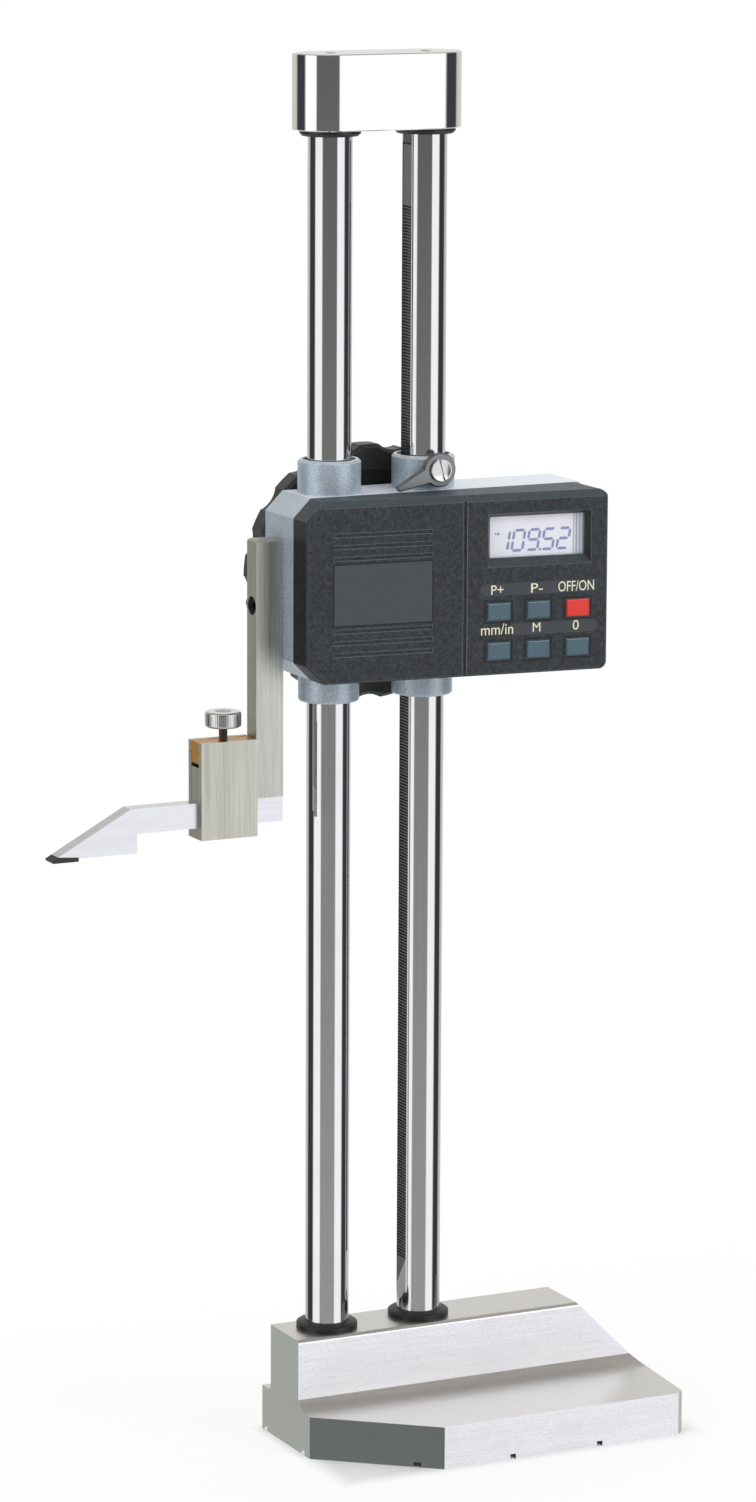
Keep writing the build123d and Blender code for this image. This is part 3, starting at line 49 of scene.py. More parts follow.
def add_camera():
    """The camera stands where the photograph was taken from."""
    level = cos(CAMERA_PITCH)
    forward = Vector((sin(CAMERA_YAW) * level, cos(CAMERA_YAW) * level, -sin(CAMERA_PITCH)))
    right = Vector((cos(CAMERA_YAW), -sin(CAMERA_YAW), 0))
    up = right.cross(forward)
    rolled_right = right * cos(CAMERA_ROLL) + up * sin(CAMERA_ROLL)
    rolled_up = up * cos(CAMERA_ROLL) - right * sin(CAMERA_ROLL)
    data = bpy.data.cameras.new("camera")
    data.lens = CAMERA_LENS
    data.sensor_width = 36
    data.sensor_fit = "AUTO"
    data.clip_start = 0.05
    data.clip_end = 60
    camera = bpy.data.objects.new("camera", data)
    axes = Matrix((rolled_right, rolled_up, -forward)).transposed()
    camera.matrix_world = Matrix.Translation(CAMERA_POS) @ axes.to_4x4()
    bpy.context.scene.collection.objects.link(camera)
    bpy.context.scene.camera = camera


# ---------------------------------------------------------------- places read from the frame
KNOB_RADIUS = (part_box("thumb_screw")[1][0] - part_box("thumb_screw")[0][0]) / 2


def middle(node):
    """Centre of a node's box."""
    low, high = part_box(node)
    return (Vector(low) + Vector(high)) / 2


def span(node, direction):
    """Lowest and highest reach of a node along a direction."""
    reach = [vertex.co.dot(direction) for vertex in nodes[node].data.vertices]
    return min(reach), max(reach)


# The cover's face, as seen from the front: its right, its up and its outward direction.
panel_right = (middle("button_power") - middle("button_preset_up")).normalized()
panel_up = Vector((0, 0, 1))
panel_out = panel_right.cross(panel_up)
panel_depth = span("blank_plate", panel_out)[1]


def on_panel(along, height, lift=0.0):
    """Point on the cover's face, at a distance along it and a height above the ground."""
    return panel_right * along + panel_up * height + panel_out * (panel_depth + lift)


def key_centre(name):
    """A key's place along the cover's face, and its height above the ground."""
    low, high = span("button_" + name, panel_right)
    bottom, top = span("button_" + name, panel_up)
    return (low + high) / 2, (bottom + top) / 2


# ---------------------------------------------------------------- sizes of the added pieces, in metres
# Measured on the photograph. Each piece's place comes from the CAD pieces that it lies on.
KEYS = ("preset_up", "preset_down", "power", "unit", "mode", "zero")
STRIP_HEIGHT = 0.0062
STRIP_THICKNESS = 0.00012
TOP_STRIP_LEFT, TOP_STRIP_RIGHT, TOP_STRIP_RISE = 0.0102, 0.0094, 0.0112
LOW_STRIP_LEFT, LOW_STRIP_RIGHT, LOW_STRIP_RISE = -0.0057, 0.0112, 0.0106
LEGENDS = (  # each key's words, their width and their height
    ("P+", 0.0067, 0.0047),
    ("P-", 0.0063, 0.0047),
    ("OFF/ON", 0.0196, 0.0052),
    ("mm/in", 0.0174, 0.0056),
    ("M", 0.0042, 0.0046),
    ("0", 0.0033, 0.0050),
)
LEGEND_RISE = 0.0112
LEGEND_SHIFT = 0.0008
LEGEND_LIFT = 0.00006
LCD_HIDDEN_EDGE = 0.0014
# The painted reflection at the display's right end: the width of its darker bands and their waves.
LCD_REFLECTION_WIDTH = 0.0060
LCD_REFLECTION_WAVES = 21.0  # radians of the wave that makes the bands, from one side of them to the other
DIGIT_HEIGHT = 0.0116
DIGIT_WIDTH = 0.0058
DIGIT_PITCH = 0.0082
DIGIT_STROKE = 0.0014
DIGIT_GAP = 0.0003
DIGIT_SLANT = 0.16
DIGIT_MARGIN_RIGHT = 0.0089
DIGIT_MARGIN_BOTTOM = 0.0024
DOT_SIZE = 0.9 * DIGIT_STROKE
DOT_TO_DIGIT = 1.2 * DOT_SIZE
# The small arrow and bar at the reading's left.
MARK_MARGIN, MARK_RISE = 0.0012, 0.82 * DIGIT_HEIGHT
MARK_ARROW, MARK_BAR, MARK_LENGTH = 0.0010, 0.0014, 0.0028
MARK_HALF, MARK_BARB = 0.0006, 0.0001
READING = "109.52"
# Where the painted highlight lies along the cover's joint, and its width.
SEAM_TO_KEY = 0.0173
JOINT_HIGHLIGHT_WIDTH = 0.00027
SEAM_MARGIN_LOW, SEAM_MARGIN_HIGH = 0.0015, 0.0048
LCD_FACE_LIFT = 0.00003
THREAD_PITCH = 0.0007
TURNED_RINGS = 9000.0  # radians of the rings' wave in one metre
KNURL_TEETH = 64
# Painted shade round each key and the blank plate: the black frame's width and thickness.
SHADE_FRAME_WIDTH = 0.0006
SHADE_FRAME_THICKNESS = 0.00008
CAP_LEFT_SHIFT, CAP_RIGHT_SHIFT = 0.0006, 0.0018
CAP_FRONT_PROUD, CAP_BACK_PROUD = 0.0002, 0.0020
CAP_LEFT_ROUND, CAP_RIGHT_ROUND, CAP_CORNER = 0.0175, 0.0223, 0.0125
CAP_EDGE = 0.0005
CAP_HOLE_GAP = 0.0002


# ---------------------------------------------------------------- node helpers
class Nodes:
    """Short names for the shader nodes that the materials and the world are built from."""

    def __init__(self, tree):
        self.tree = tree
        tree.nodes.clear()

    def add(self, kind, **settings):
        node = self.tree.nodes.new(kind)
        for key, value in settings.items():
            setattr(node, key, value)
        return node

    def link(self, source, target):
        self.tree.links.new(source, target)

    def put(self, value, socket):
        """A socket's value is a number, a colour or another node's output."""
        if isinstance(value, bpy.types.NodeSocket):
            self.link(value, socket)
        elif isinstance(value, (tuple, list)) and len(value) == 3 and len(socket.default_value) == 4:
            socket.default_value = (*value, 1)
        else:
            socket.default_value = value

    def where(self):
        return self.add("ShaderNodeTexCoord").outputs["Object"]

    def stretch(self, vector, scale):
        node = self.add("ShaderNodeMapping")
        node.inputs["Scale"].default_value = scale
        self.link(vector, node.inputs["Vector"])
        return node.outputs["Vector"]

    def noise(self, vector, scale, detail=3.0, roughness=0.55):
        node = self.add("ShaderNodeTexNoise")
        self.link(vector, node.inputs["Vector"])
        for name, value in (("Scale", scale), ("Detail", detail), ("Roughness", roughness)):
            node.inputs[name].default_value = value
        return node.outputs["Fac"]

    def math(self, operation, a, b=0.0):
        node = self.add("ShaderNodeMath", operation=operation)
        for value, socket in zip((a, b), node.inputs):
            self.put(value, socket)
        return node.outputs[0]

    def times(self, a, b):
        return self.math("MULTIPLY", a, b)

    def plus(self, a, b):
        return self.math("ADD", a, b)

    def minus(self, a, b):
        return self.math("SUBTRACT", a, b)

    def remap(self, value, low, high, out_low=0.0, out_high=1.0, smooth=False):
        node = self.add("ShaderNodeMapRange", interpolation_type="SMOOTHSTEP" if smooth else "LINEAR")
        self.put(value, node.inputs["Value"])
        limits = {"From Min": low, "From Max": high, "To Min": out_low, "To Max": out_high}
        for name, number in limits.items():
            node.inputs[name].default_value = number
        return node.outputs["Result"]

    def mix(self, factor, a, b, blend="MIX"):
        node = self.add("ShaderNodeMix", data_type="RGBA", blend_type=blend)
        self.put(factor, node.inputs["Factor"])
        self.put(a, node.inputs[6])
        self.put(b, node.inputs[7])
        return node.outputs[2]

    def bump(self, height, strength, distance):
        node = self.add("ShaderNodeBump")
        node.inputs["Strength"].default_value = strength
        node.inputs["Distance"].default_value = distance
        self.link(height, node.inputs["Height"])
        return node.outputs["Normal"]

    def split(self, vector):
        node = self.add("ShaderNodeSeparateXYZ")
        self.link(vector, node.inputs[0])
        return node.outputs

    def edges(self, radius, low=0.85, high=0.995):
        """1 along the solid's sharp edges, fading to 0 within the radius."""
        bevel = self.add("ShaderNodeBevel", samples=6)
        bevel.inputs["Radius"].default_value = radius
        geometry = self.add("ShaderNodeNewGeometry")
        dot = self.add("ShaderNodeVectorMath", operation="DOT_PRODUCT")
        self.link(bevel.outputs["Normal"], dot.inputs[0])
        self.link(geometry.outputs["True Normal"], dot.inputs[1])
        return self.remap(dot.outputs["Value"], low, high, 1.0, 0.0, smooth=True)

    def facing(self, direction, low, high):
        """1 where the surface faces a direction, 0 where it turns away from it."""
        geometry = self.add("ShaderNodeNewGeometry")
        dot = self.add("ShaderNodeVectorMath", operation="DOT_PRODUCT")
        self.link(geometry.outputs["True Normal"], dot.inputs[0])
        dot.inputs[1].default_value = direction
        return self.remap(dot.outputs["Value"], low, high, 0.0, 1.0, smooth=True)

    def shader(self, color, roughness, metallic=0.0, normal=None, **constants):
        """Principled shader on the material's output. Constants are set on the shader's own sockets."""
        shader = self.add("ShaderNodeBsdfPrincipled")
        self.put(color, shader.inputs["Base Color"])
        self.put(roughness, shader.inputs["Roughness"])
        self.put(metallic, shader.inputs["Metallic"])
        if normal is not None:
            self.link(normal, shader.inputs["Normal"])
        for name, value in constants.items():
            shader.inputs[name.replace("_", " ").title().replace("Ior", "IOR")].default_value = value
        output = self.add("ShaderNodeOutputMaterial")
        self.link(shader.outputs[0], output.inputs["Surface"])


def new_material(name):
    material = bpy.data.materials.new(name)
    material.use_nodes = True
    return material, Nodes(material.node_tree)


def srgb(red, green, blue):
    """Linear colour of an 8-bit sRGB one."""
    channels = [value / 255 for value in (red, green, blue)]
    return tuple(v / 12.92 if v <= 0.04045 else ((v + 0.055) / 1.055) ** 2.4 for v in channels)


def shade(color, factor, lift=0.0):
    """The colour made darker or lighter by a factor, and lifted."""
    return tuple(min(value * factor + lift, 1) for value in color)


# ---------------------------------------------------------------- materials
PALE_EDGE_RADIUS = 0.0006


def ground_metal(name, color, grain, roughness=0.3, tint=0.12, depth=0.000012, wear_and_glint=0.0):
    """Ground or brushed metal. grain is the noise scale along x, y and z: small along the grinding marks."""
    material, n = new_material(name)
    where = n.where()
    fine = n.noise(n.stretch(where, grain), 1.0, 4, 0.7)
    broad = n.noise(n.stretch(where, tuple(value * 0.2 for value in grain)), 1.0, 3, 0.6)
    cloud = n.noise(where, 35, 4, 0.6)
    streaks = n.plus(n.times(fine, 0.6), n.times(broad, 0.4))
    darker = shade(color, 1 - 2 * tint)
    lighter = shade(color, 1 + 0.6 * tint)
    tone = n.mix(n.remap(streaks, 0.3, 0.7), darker, lighter)
    shaded = n.mix(n.remap(cloud, 0.35, 0.75, 0.0, 0.1), tone, shade(color, 0.6))
    # Edges made paler: partly worn, partly a painted highlight.
    if wear_and_glint:
        shaded = n.mix(n.times(n.edges(PALE_EDGE_RADIUS), wear_and_glint), shaded, shade(color, 1.3))
    rough = n.remap(streaks, 0.25, 0.75, roughness * 0.8, roughness * 1.25)
    n.shader(shaded, rough, 1.0, n.bump(streaks, 0.5, depth))
    return material


def polished_metal(name, color, roughness=0.08, grain=(900, 900, 6), streaks=0.35):
    """Hard chrome or polished steel with faint marks and a thin film of oil, with painted shade where it
    faces up.
    """
    material, n = new_material(name)
    where = n.where()
    lines = n.noise(n.stretch(where, grain), 1.0, 3, 0.6)
    cloud = n.noise(where, 22, 5, 0.65)
    specks = n.noise(where, 900, 2, 0.5)
    tone = n.mix(n.remap(lines, 0.3, 0.7, 0.0, streaks), color, shade(color, 0.78))
    tone = n.mix(n.remap(cloud, 0.5, 0.8, 0.0, 0.7 * streaks), tone, shade(color, 0.7))
    # Painted shade: what faces up is made darker.
    tone = n.mix(n.facing((0, 0, 1), 0.9, 0.99), tone, shade(color, 0.62))
    film = n.remap(cloud, 0.3, 0.8, roughness * 0.7, roughness * 1.6)
    rough = n.plus(film, n.remap(specks, 0.6, 0.8, 0, 0.05))
    n.shader(tone, rough, 1.0, n.bump(lines, 0.25, 0.000004))
    return material


def moulded_plastic(
    name, color, roughness=0.5, grain=2600, depth=0.00006, wear_and_glint=0.25, fleck=0.35, dust_and_sheen=0.0, shaded_side=0.0
):
    """Moulded plastic with a sparkly grain, pale edges that are partly worn and partly a painted highlight,
    painted shade on its left side, and dusty tops that also carry a painted sheen.
    """
    material, n = new_material(name)
    where = n.where()
    fine = n.noise(where, grain, 3, 0.65)
    coarse = n.noise(where, grain * 0.3, 3, 0.6)
    cloud = n.noise(where, 30, 4, 0.6)
    height = n.plus(n.times(fine, 0.6), n.times(coarse, 0.4))
    tone = n.mix(n.remap(height, 0.44, 0.62, 0.0, fleck), color, shade(color, 3.2, 0.012))
    tone = n.mix(n.remap(height, 0.46, 0.36, 0.0, fleck), tone, shade(color, 0.35))
    tone = n.mix(n.remap(cloud, 0.35, 0.7, 0.0, 0.25), tone, shade(color, 0.7))
    # Painted shade: the side facing left is darkened.
    if shaded_side:
        tone = n.mix(n.times(n.facing((-1, 0, 0), 0.3, 0.7), shaded_side), tone, srgb(8, 10, 11))
    # What faces up is made paler and bluer: partly a dusty film, partly a painted sheen.
    if dust_and_sheen:
        tone = n.mix(n.times(n.facing((0, 0, 1), 0.25, 0.75), dust_and_sheen), tone, srgb(104, 120, 130))
    # Edges made paler: partly worn, partly a painted highlight.
    if wear_and_glint:
        tone = n.mix(n.times(n.edges(PALE_EDGE_RADIUS), wear_and_glint), tone, srgb(128, 140, 144))
    rough = n.remap(height, 0.3, 0.7, roughness * 1.15, roughness * 0.85)
    n.shader(tone, rough, 0.0, n.bump(height, 0.6, depth))
    return material


def plain_finish(name, color, roughness=0.4, metallic=0.0, scale=400, depth=0.00001, spread=0.2):
    """Smooth moulded, painted or turned surface with small changes of tone and gloss."""
    material, n = new_material(name)
    where = n.where()
    fine = n.noise(where, scale, 3, 0.6)
    cloud = n.noise(where, scale / 12, 4, 0.6)
    tone = n.mix(n.remap(fine, 0.35, 0.7, 0.0, spread), color, shade(color, 0.7))
    tone = n.mix(n.remap(cloud, 0.4, 0.75, 0.0, spread), tone, shade(color, 1.15, 0.005))
    rough = n.remap(cloud, 0.3, 0.7, roughness * 0.85, roughness * 1.2)
    n.shader(tone, rough, metallic, n.bump(fine, 0.4, depth))
    return material


def cover_paint(name, color, roughness, spread):
    """The even, finely grained finish of the thin parts on the cover's face."""
    return plain_finish(name, color, roughness, scale=1500, depth=0.00002, spread=spread)


def satin_alloy():
    """Bead-blasted light alloy with a fine speckle, with painted light on top and a painted highlight along
    its edges.
    """
    material, n = new_material("satin_alloy")
    where = n.where()
    speckle = n.noise(where, 1500, 3, 0.7)
    cloud = n.noise(where, 45, 4, 0.6)
    tone = n.mix(n.remap(speckle, 0.36, 0.64), srgb(160, 177, 192), srgb(218, 229, 240))
    tone = n.mix(n.remap(cloud, 0.4, 0.75, 0.0, 0.25), tone, srgb(146, 156, 162))
    # Painted light: what faces up is made paler, and less metallic.
    level = n.facing((0, 0, 1), 0.6, 0.95)
    tone = n.mix(n.times(level, 0.8), tone, srgb(240, 244, 252))
    # Painted highlight along the edges.
    tone = n.mix(n.times(n.edges(0.0008), 0.75), tone, srgb(246, 248, 250))
    rough = n.remap(speckle, 0.3, 0.7, 0.34, 0.44)
    n.shader(tone, rough, n.remap(level, 0.0, 1.0, 0.4, 0.05), n.bump(speckle, 0.5, 0.00004))
    return material


# The way the base's milled corner faces, and where its relief grooves begin, from its left side.
CORNER_CUT = (-0.634, -0.774, 0)
GROOVE_START, GROOVE_FADE = 0.004, 0.002


def ground_iron():
    """Surface-ground iron with marks along the base, and painted light and shade: shade on the milled corner
    cut, on the left side, in the grooves and underneath; light on the top; a highlight along the edges.
    """
    color = srgb(238, 238, 244)
    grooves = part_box("base")[0][0] + GROOVE_START
    material, n = new_material("ground_iron")
    where = n.where()
    marks = n.noise(n.stretch(where, (22, 1100, 1100)), 1.0, 4, 0.7)
    broad = n.noise(n.stretch(where, (6, 160, 160)), 1.0, 3, 0.6)
    speckle = n.noise(where, 1130, 3, 0.7)
    cloud = n.noise(where, 30, 4, 0.6)
    streaks = n.plus(n.times(marks, 0.6), n.times(broad, 0.4))
    tone = n.mix(n.remap(streaks, 0.35, 0.65), shade(color, 0.84), color)
    tone = n.mix(n.remap(speckle, 0.48, 0.66, 0.0, 0.45), tone, shade(color, 0.7))
    tone = n.mix(n.remap(cloud, 0.45, 0.8, 0.0, 0.2), tone, srgb(196, 190, 178))
    # Painted shade on the corner cut.
    milled = n.facing(CORNER_CUT, 0.985, 0.995)
    tone = n.mix(n.times(milled, 0.85), tone, srgb(146, 156, 156))
    # Painted light on the top.
    level = n.facing((0, 0, 1), 0.6, 0.98)
    tone = n.mix(n.times(level, 0.65), tone, srgb(244, 242, 236))
    # Painted shade, a little green, on the left side.
    side = n.facing((-1, 0, 0), 0.9, 0.99)
    tone = n.mix(n.times(side, 0.7), tone, srgb(218, 228, 230))
    # Painted highlight along the edges.
    tone = n.mix(n.times(n.edges(0.0007), 0.5), tone, (1.0, 1.0, 1.0))
    # Painted shade: near black inside the grooves and on the underside.
    inner = n.times(side, n.remap(n.split(where)[0], grooves, grooves + GROOVE_FADE))
    tone = n.mix(n.math("MAXIMUM", inner, n.facing((0, 0, -1), 0.5, 0.9)), tone, srgb(16, 16, 16))
    rough = n.plus(n.remap(streaks, 0.25, 0.75, 0.17, 0.28), n.times(level, 0.14))
    n.shader(tone, rough, 1.0, n.bump(n.plus(streaks, n.times(speckle, 0.4)), 0.5, 0.000012))
    return material


def key_finish(name, color):
    """Moulded key with a fine grain, painted shade along its edge and painted light where it faces up."""
    material, n = new_material(name)
    where = n.where()
    fine = n.noise(where, 1800, 3, 0.6)
    # Painted shade along the key's edge.
    rim = n.edges(0.0011, 0.8, 0.999)
    tone = n.mix(n.remap(fine, 0.38, 0.66, 0.0, 0.45), color, shade(color, 1.6, 0.01))
    tone = n.mix(n.times(rim, 0.7), tone, shade(color, 0.35))
    # Painted light on what faces up.
    tone = n.mix(n.facing((0, 0, 1), 0.3, 0.8), tone, shade(color, 2.2, 0.06))
    n.shader(tone, n.remap(fine, 0.3, 0.7, 0.32, 0.45), 0.0, n.bump(fine, 0.5, 0.00003))
    return material


def clear_window():
    """Thin clear plastic with faint wipe marks, which lets the light on to the display."""
    material, n = new_material("window_clear")
    smear = n.noise(n.where(), 60)
    tone = n.mix(smear, (0.86, 0.88, 0.95), (0.95, 0.96, 1.0))
    n.shader(tone, n.remap(smear, 0.3, 0.7, 0.03, 0.1), alpha=0.05)
    return material


def lcd_glass():
    """Display glass: pale, a little uneven, with darker bands at the right that are a painted reflection of
    the bezel's right wall.
    """
    material, n = new_material("lcd_glass")
    where = n.where()
    along = n.add("ShaderNodeVectorMath", operation="DOT_PRODUCT")
    n.link(where, along.inputs[0])
    along.inputs[1].default_value = panel_right
    rim = span("lcd_window", panel_right)[1] - LCD_HIDDEN_EDGE
    # Painted reflection: darker bands towards the right end.
    edge = n.remap(along.outputs["Value"], rim - LCD_REFLECTION_WIDTH, rim)
    lines = n.remap(n.math("SINE", n.times(edge, LCD_REFLECTION_WAVES)), -0.2, 0.9, 0.0, 0.7, smooth=True)
    reflection_band = n.times(n.remap(edge, 0.0, 0.12), n.plus(n.times(lines, 0.7), 0.3))
    cloud = n.noise(where, 55, 3, 0.5)
    grain = n.noise(where, 2500, 2, 0.5)
    tone = n.mix(cloud, srgb(240, 242, 254), srgb(248, 249, 255))
    tone = n.mix(n.remap(grain, 0.4, 0.7, 0.0, 0.15), tone, srgb(220, 222, 244))
    tone = n.mix(reflection_band, tone, srgb(112, 136, 158))
    n.shader(tone, 0.55, specular_ior_level=0.2)
    return material


def knurled_metal(name, color, centre, teeth, roughness=0.2):
    """Plated knob with a straight knurl round its upright axis, painted shade in the knurl's grooves, and a
    turned top.
    """
    material, n = new_material(name)
    where = n.where()
    x, y, z = n.split(where)
    dx, dy = n.minus(x, centre[0]), n.minus(y, centre[1])
    angle = n.math("ARCTAN2", dy, dx)
    radius = n.math("SQRT", n.plus(n.times(dx, dx), n.times(dy, dy)))
    ridges = n.math("SINE", n.times(angle, teeth))
    side = n.remap(radius, KNOB_RADIUS * 0.93, KNOB_RADIUS * 0.985)
    rings = n.math("SINE", n.times(radius, TURNED_RINGS))
    height = n.mix(side, n.times(rings, 0.06), n.times(ridges, 0.35))
    threads = n.math("SINE", n.times(z, 2 * pi / THREAD_PITCH))
    shank = n.remap(radius, KNOB_RADIUS * 0.5, KNOB_RADIUS * 0.4)
    height = n.mix(shank, height, n.times(threads, 3.0))
    cloud = n.noise(where, 160, 4, 0.6)
    # Painted shade in the knurl's grooves.
    groove = n.times(side, n.remap(ridges, -1.0, 0.1, 0.25, 0.0))
    tone = n.mix(groove, color, shade(color, 0.3))
    tone = n.mix(n.remap(cloud, 0.45, 0.8, 0.0, 0.3), tone, shade(color, 0.65))
    tone = n.mix(n.times(shank, 0.8), tone, srgb(96, 92, 98))
    rough = n.remap(cloud, 0.3, 0.7, roughness * 0.7, roughness * 1.3)
    n.shader(tone, rough, 1.0, n.bump(height, 0.8, 0.00008))
    return material


def paint(names, material):
    """Give the named CAD solids this material in place of their own."""
    for name in names.split():
        mesh = nodes[name].data
        mesh.materials.clear()
        mesh.materials.append(material)


def paint_everything():
    """One material for each group of CAD solids."""
    paint("base", ground_iron())
    paint("column_left column_right", polished_metal("hard_chrome", srgb(235, 235, 237), roughness=0.06))
    cap = polished_metal("polished_cap", srgb(250, 250, 250), 0.05, grain=(500, 500, 20), streaks=0.12)
    paint("top_cap", cap)
    rack = ground_metal("rack_steel", srgb(168, 170, 170), (60, 60, 700), 0.35, tint=0.15)
    paint("rack rack_end_block", rack)
    rubber = moulded_plastic(
        "black_rubber", srgb(30, 32, 34), roughness=0.42, grain=1800, depth=0.00003, wear_and_glint=0.2, fleck=0.15
    )
    paint("foot_ring_left foot_ring_right cap_ring_left cap_ring_right", rubber)
    blackened = plain_finish("blackened_steel", srgb(36, 36, 38), metallic=0.8)
    paint("column_bolts cap_screws arm_screw", blackened)
    paint("slider_body", satin_alloy())
    brass = ground_metal("bush_brass", srgb(136, 120, 96), (300, 300, 300), 0.35)
    bushes = "column_bush_upper_left column_bush_upper_right column_bush_lower_left column_bush_lower_right"
    paint(bushes + " encoder_bush clamp_pad", brass)
    # The cover's darker left side is painted shade, its pale tops are partly a painted sheen, and its pale
    # edges are partly a painted highlight.
    cover = moulded_plastic(
        "cover_black", srgb(33, 38, 42), roughness=0.48, grain=1500, depth=0.00014, wear_and_glint=0.75, fleck=0.7,
        dust_and_sheen=0.24, shaded_side=0.6,
    )
    paint("front_cover", cover)
    paint("blank_plate", cover_paint("plate_black", srgb(64, 72, 77), 0.38, 0.45))
    paint("lcd_panel", lcd_glass())
    paint("lcd_window", clear_window())
    paint("circuit_board", plain_finish("board_green", srgb(30, 90, 55)))
    paint("keypad_mat", plain_finish("mat_rubber", srgb(70, 72, 76), roughness=0.7))
    paint("battery_holder encoder_sensor", moulded_plastic("inner_black", srgb(30, 30, 32), roughness=0.55))
    paint("battery encoder_disc", ground_metal("bright_steel", srgb(205, 205, 205), (400, 400, 400), 0.25))
    screws = ground_metal("screw_steel", srgb(165, 165, 165), (500, 500, 500), 0.35)
    paint("cover_screws housing_screws wheel_screw pinion_housing", screws)
    shafts = ground_metal("shaft_steel", srgb(170, 170, 172), (500, 40, 500), 0.3)
    paint("drive_shaft drive_pinion encoder_shaft encoder_pinion", shafts)
    # The wheel's pale rim edges are a painted highlight.
    wheel = moulded_plastic(
        "wheel_black", srgb(44, 47, 46), roughness=0.4, grain=1200, depth=0.00004, wear_and_glint=0.6, fleck=0.25
    )
    paint("handwheel", wheel)
    lever = ground_metal("lever_steel", srgb(140, 144, 148), (200, 500, 200), 0.33, tint=0.1, wear_and_glint=0.8)
    paint("clamp_lever", lever)
    paint("clamp_screw", polished_metal("lever_screw", srgb(215, 215, 218), roughness=0.15))
    arm = ground_metal(
        "arm_steel", srgb(216, 217, 211), (1400, 1400, 30), 0.36, tint=0.2, depth=0.00002, wear_and_glint=0.4
    )
    paint("scriber_arm", arm)
    box = ground_metal(
        "box_steel", srgb(222, 221, 209), (1400, 1400, 25), 0.38, tint=0.24, depth=0.00002, wear_and_glint=0.5
    )
    paint("clamp_box", box)
    paint("clamp_nut", ground_metal("nut_brass", srgb(255, 188, 104), (60, 400, 400), 0.45))
    chrome = knurled_metal("thumb_chrome", srgb(232, 232, 232), middle("thumb_screw"), KNURL_TEETH)
    paint("thumb_screw", chrome)
    scriber = ground_metal("scriber_steel", srgb(242, 243, 250), (120, 1300, 1300), 0.3, tint=0.09, wear_and_glint=0.3)
    paint("scriber", scriber)
    paint("scriber_tip", ground_metal("carbide", srgb(76, 76, 78), (300, 300, 300), 0.4, tint=0.1, wear_and_glint=0.4))
    slate = key_finish("key_slate", srgb(70, 95, 108))
    red = key_finish("key_red", srgb(222, 50, 42))
    for key in KEYS:
        paint("button_" + key, red if key == "power" else slate)


# ---------------------------------------------------------------- pieces on the cover's face
def add_piece(name, mesh, material, body):
    mesh.materials.append(material)
    piece = bpy.data.objects.new(name, mesh)
    bpy.context.scene.collection.objects.link(piece)
    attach(piece, body)
    return piece


def plate_mesh(name, outline, place, thickness):
    """Thin plate over a flat outline. place turns an outline's point and a lift into a point in space."""
    mesh = bpy.data.meshes.new(name)
    count = len(outline)
    back = [place(x, y, 0.0) for x, y in outline]
    front = [place(x, y, thickness) for x, y in outline]
    sides = [(i, (i + 1) % count, (i + 1) % count + count, i + count) for i in range(count)]
    back_face, front_face = tuple(range(count - 1, -1, -1)), tuple(range(count, 2 * count))
    mesh.from_pydata(back + front, [], [back_face, front_face] + sides)
    mesh.update()
    return mesh


def stadium(left, right, bottom, top, steps=10):
    """Outline of a strip with round ends."""
    radius = (top - bottom) / 2
    level = (top + bottom) / 2
    points = []
    for centre, start in ((right - radius, -pi / 2), (left + radius, pi / 2)):
        for step in range(steps + 1):
            angle = start + pi * step / steps
            points.append((centre + radius * cos(angle), level + radius * sin(angle)))
    return points


def add_on_cover(name, outline, material):
    """Thin piece on the cover's face, over a flat outline on it."""
    mesh = plate_mesh(name, outline, on_panel, STRIP_THICKNESS)
    add_piece(name, mesh, material, "slider")


def add_strips():
    """The two grey bands that the legends stand on."""
    material = cover_paint("strip_grey", srgb(62, 67, 73), 0.42, 0.3)
    rows = (
        ("strip_top", "preset_up", "power", TOP_STRIP_LEFT, TOP_STRIP_RIGHT, TOP_STRIP_RISE),
        ("strip_low", "unit", "zero", LOW_STRIP_LEFT, LOW_STRIP_RIGHT, LOW_STRIP_RISE),
    )
    for name, first, last, left_reach, right_reach, rise in rows:
        left, level = key_centre(first)
        right = key_centre(last)[0]
        bottom = level + rise - STRIP_HEIGHT / 2
        outline = stadium(left - left_reach, right + right_reach, bottom, bottom + STRIP_HEIGHT)
        add_on_cover(name, outline, material)


def add_shade_frames():
    """Painted shade: a narrow black frame round each key's opening, and round the blank plate."""
    # The frame is a dark sheet laid where the gaps are in shade.
    material = cover_paint("painted_shade_black", srgb(16, 18, 20), 0.45, 0.3)
    for node in ["button_" + key for key in KEYS] + ["blank_plate"]:
        left, right = span(node, panel_right)
        bottom, top = span(node, panel_up)
        inner = [(left, bottom), (right, bottom), (right, top), (left, top)]
        low_x, high_x, low_y, high_y = (
            left - SHADE_FRAME_WIDTH, right + SHADE_FRAME_WIDTH, bottom - SHADE_FRAME_WIDTH, top + SHADE_FRAME_WIDTH,
        )
        outer = [(low_x, low_y), (high_x, low_y), (high_x, high_y), (low_x, high_y)]
        points = [on_panel(x, y, lift) for lift in (0.0, SHADE_FRAME_THICKNESS) for x, y in inner + outer]
        faces = []
        for i in range(4):
            j = (i + 1) % 4
            faces += [
                (8 + i, 12 + i, 12 + j, 8 + j), (i, j, 4 + j, 4 + i),
                (4 + i, 4 + j, 12 + j, 12 + i), (j, i, 8 + i, 8 + j),
            ]
        mesh = bpy.data.meshes.new("shade_frame_" + node)
        mesh.from_pydata(points, [], faces)
        mesh.update()
        add_piece("shade_frame_" + node, mesh, material, "slider")


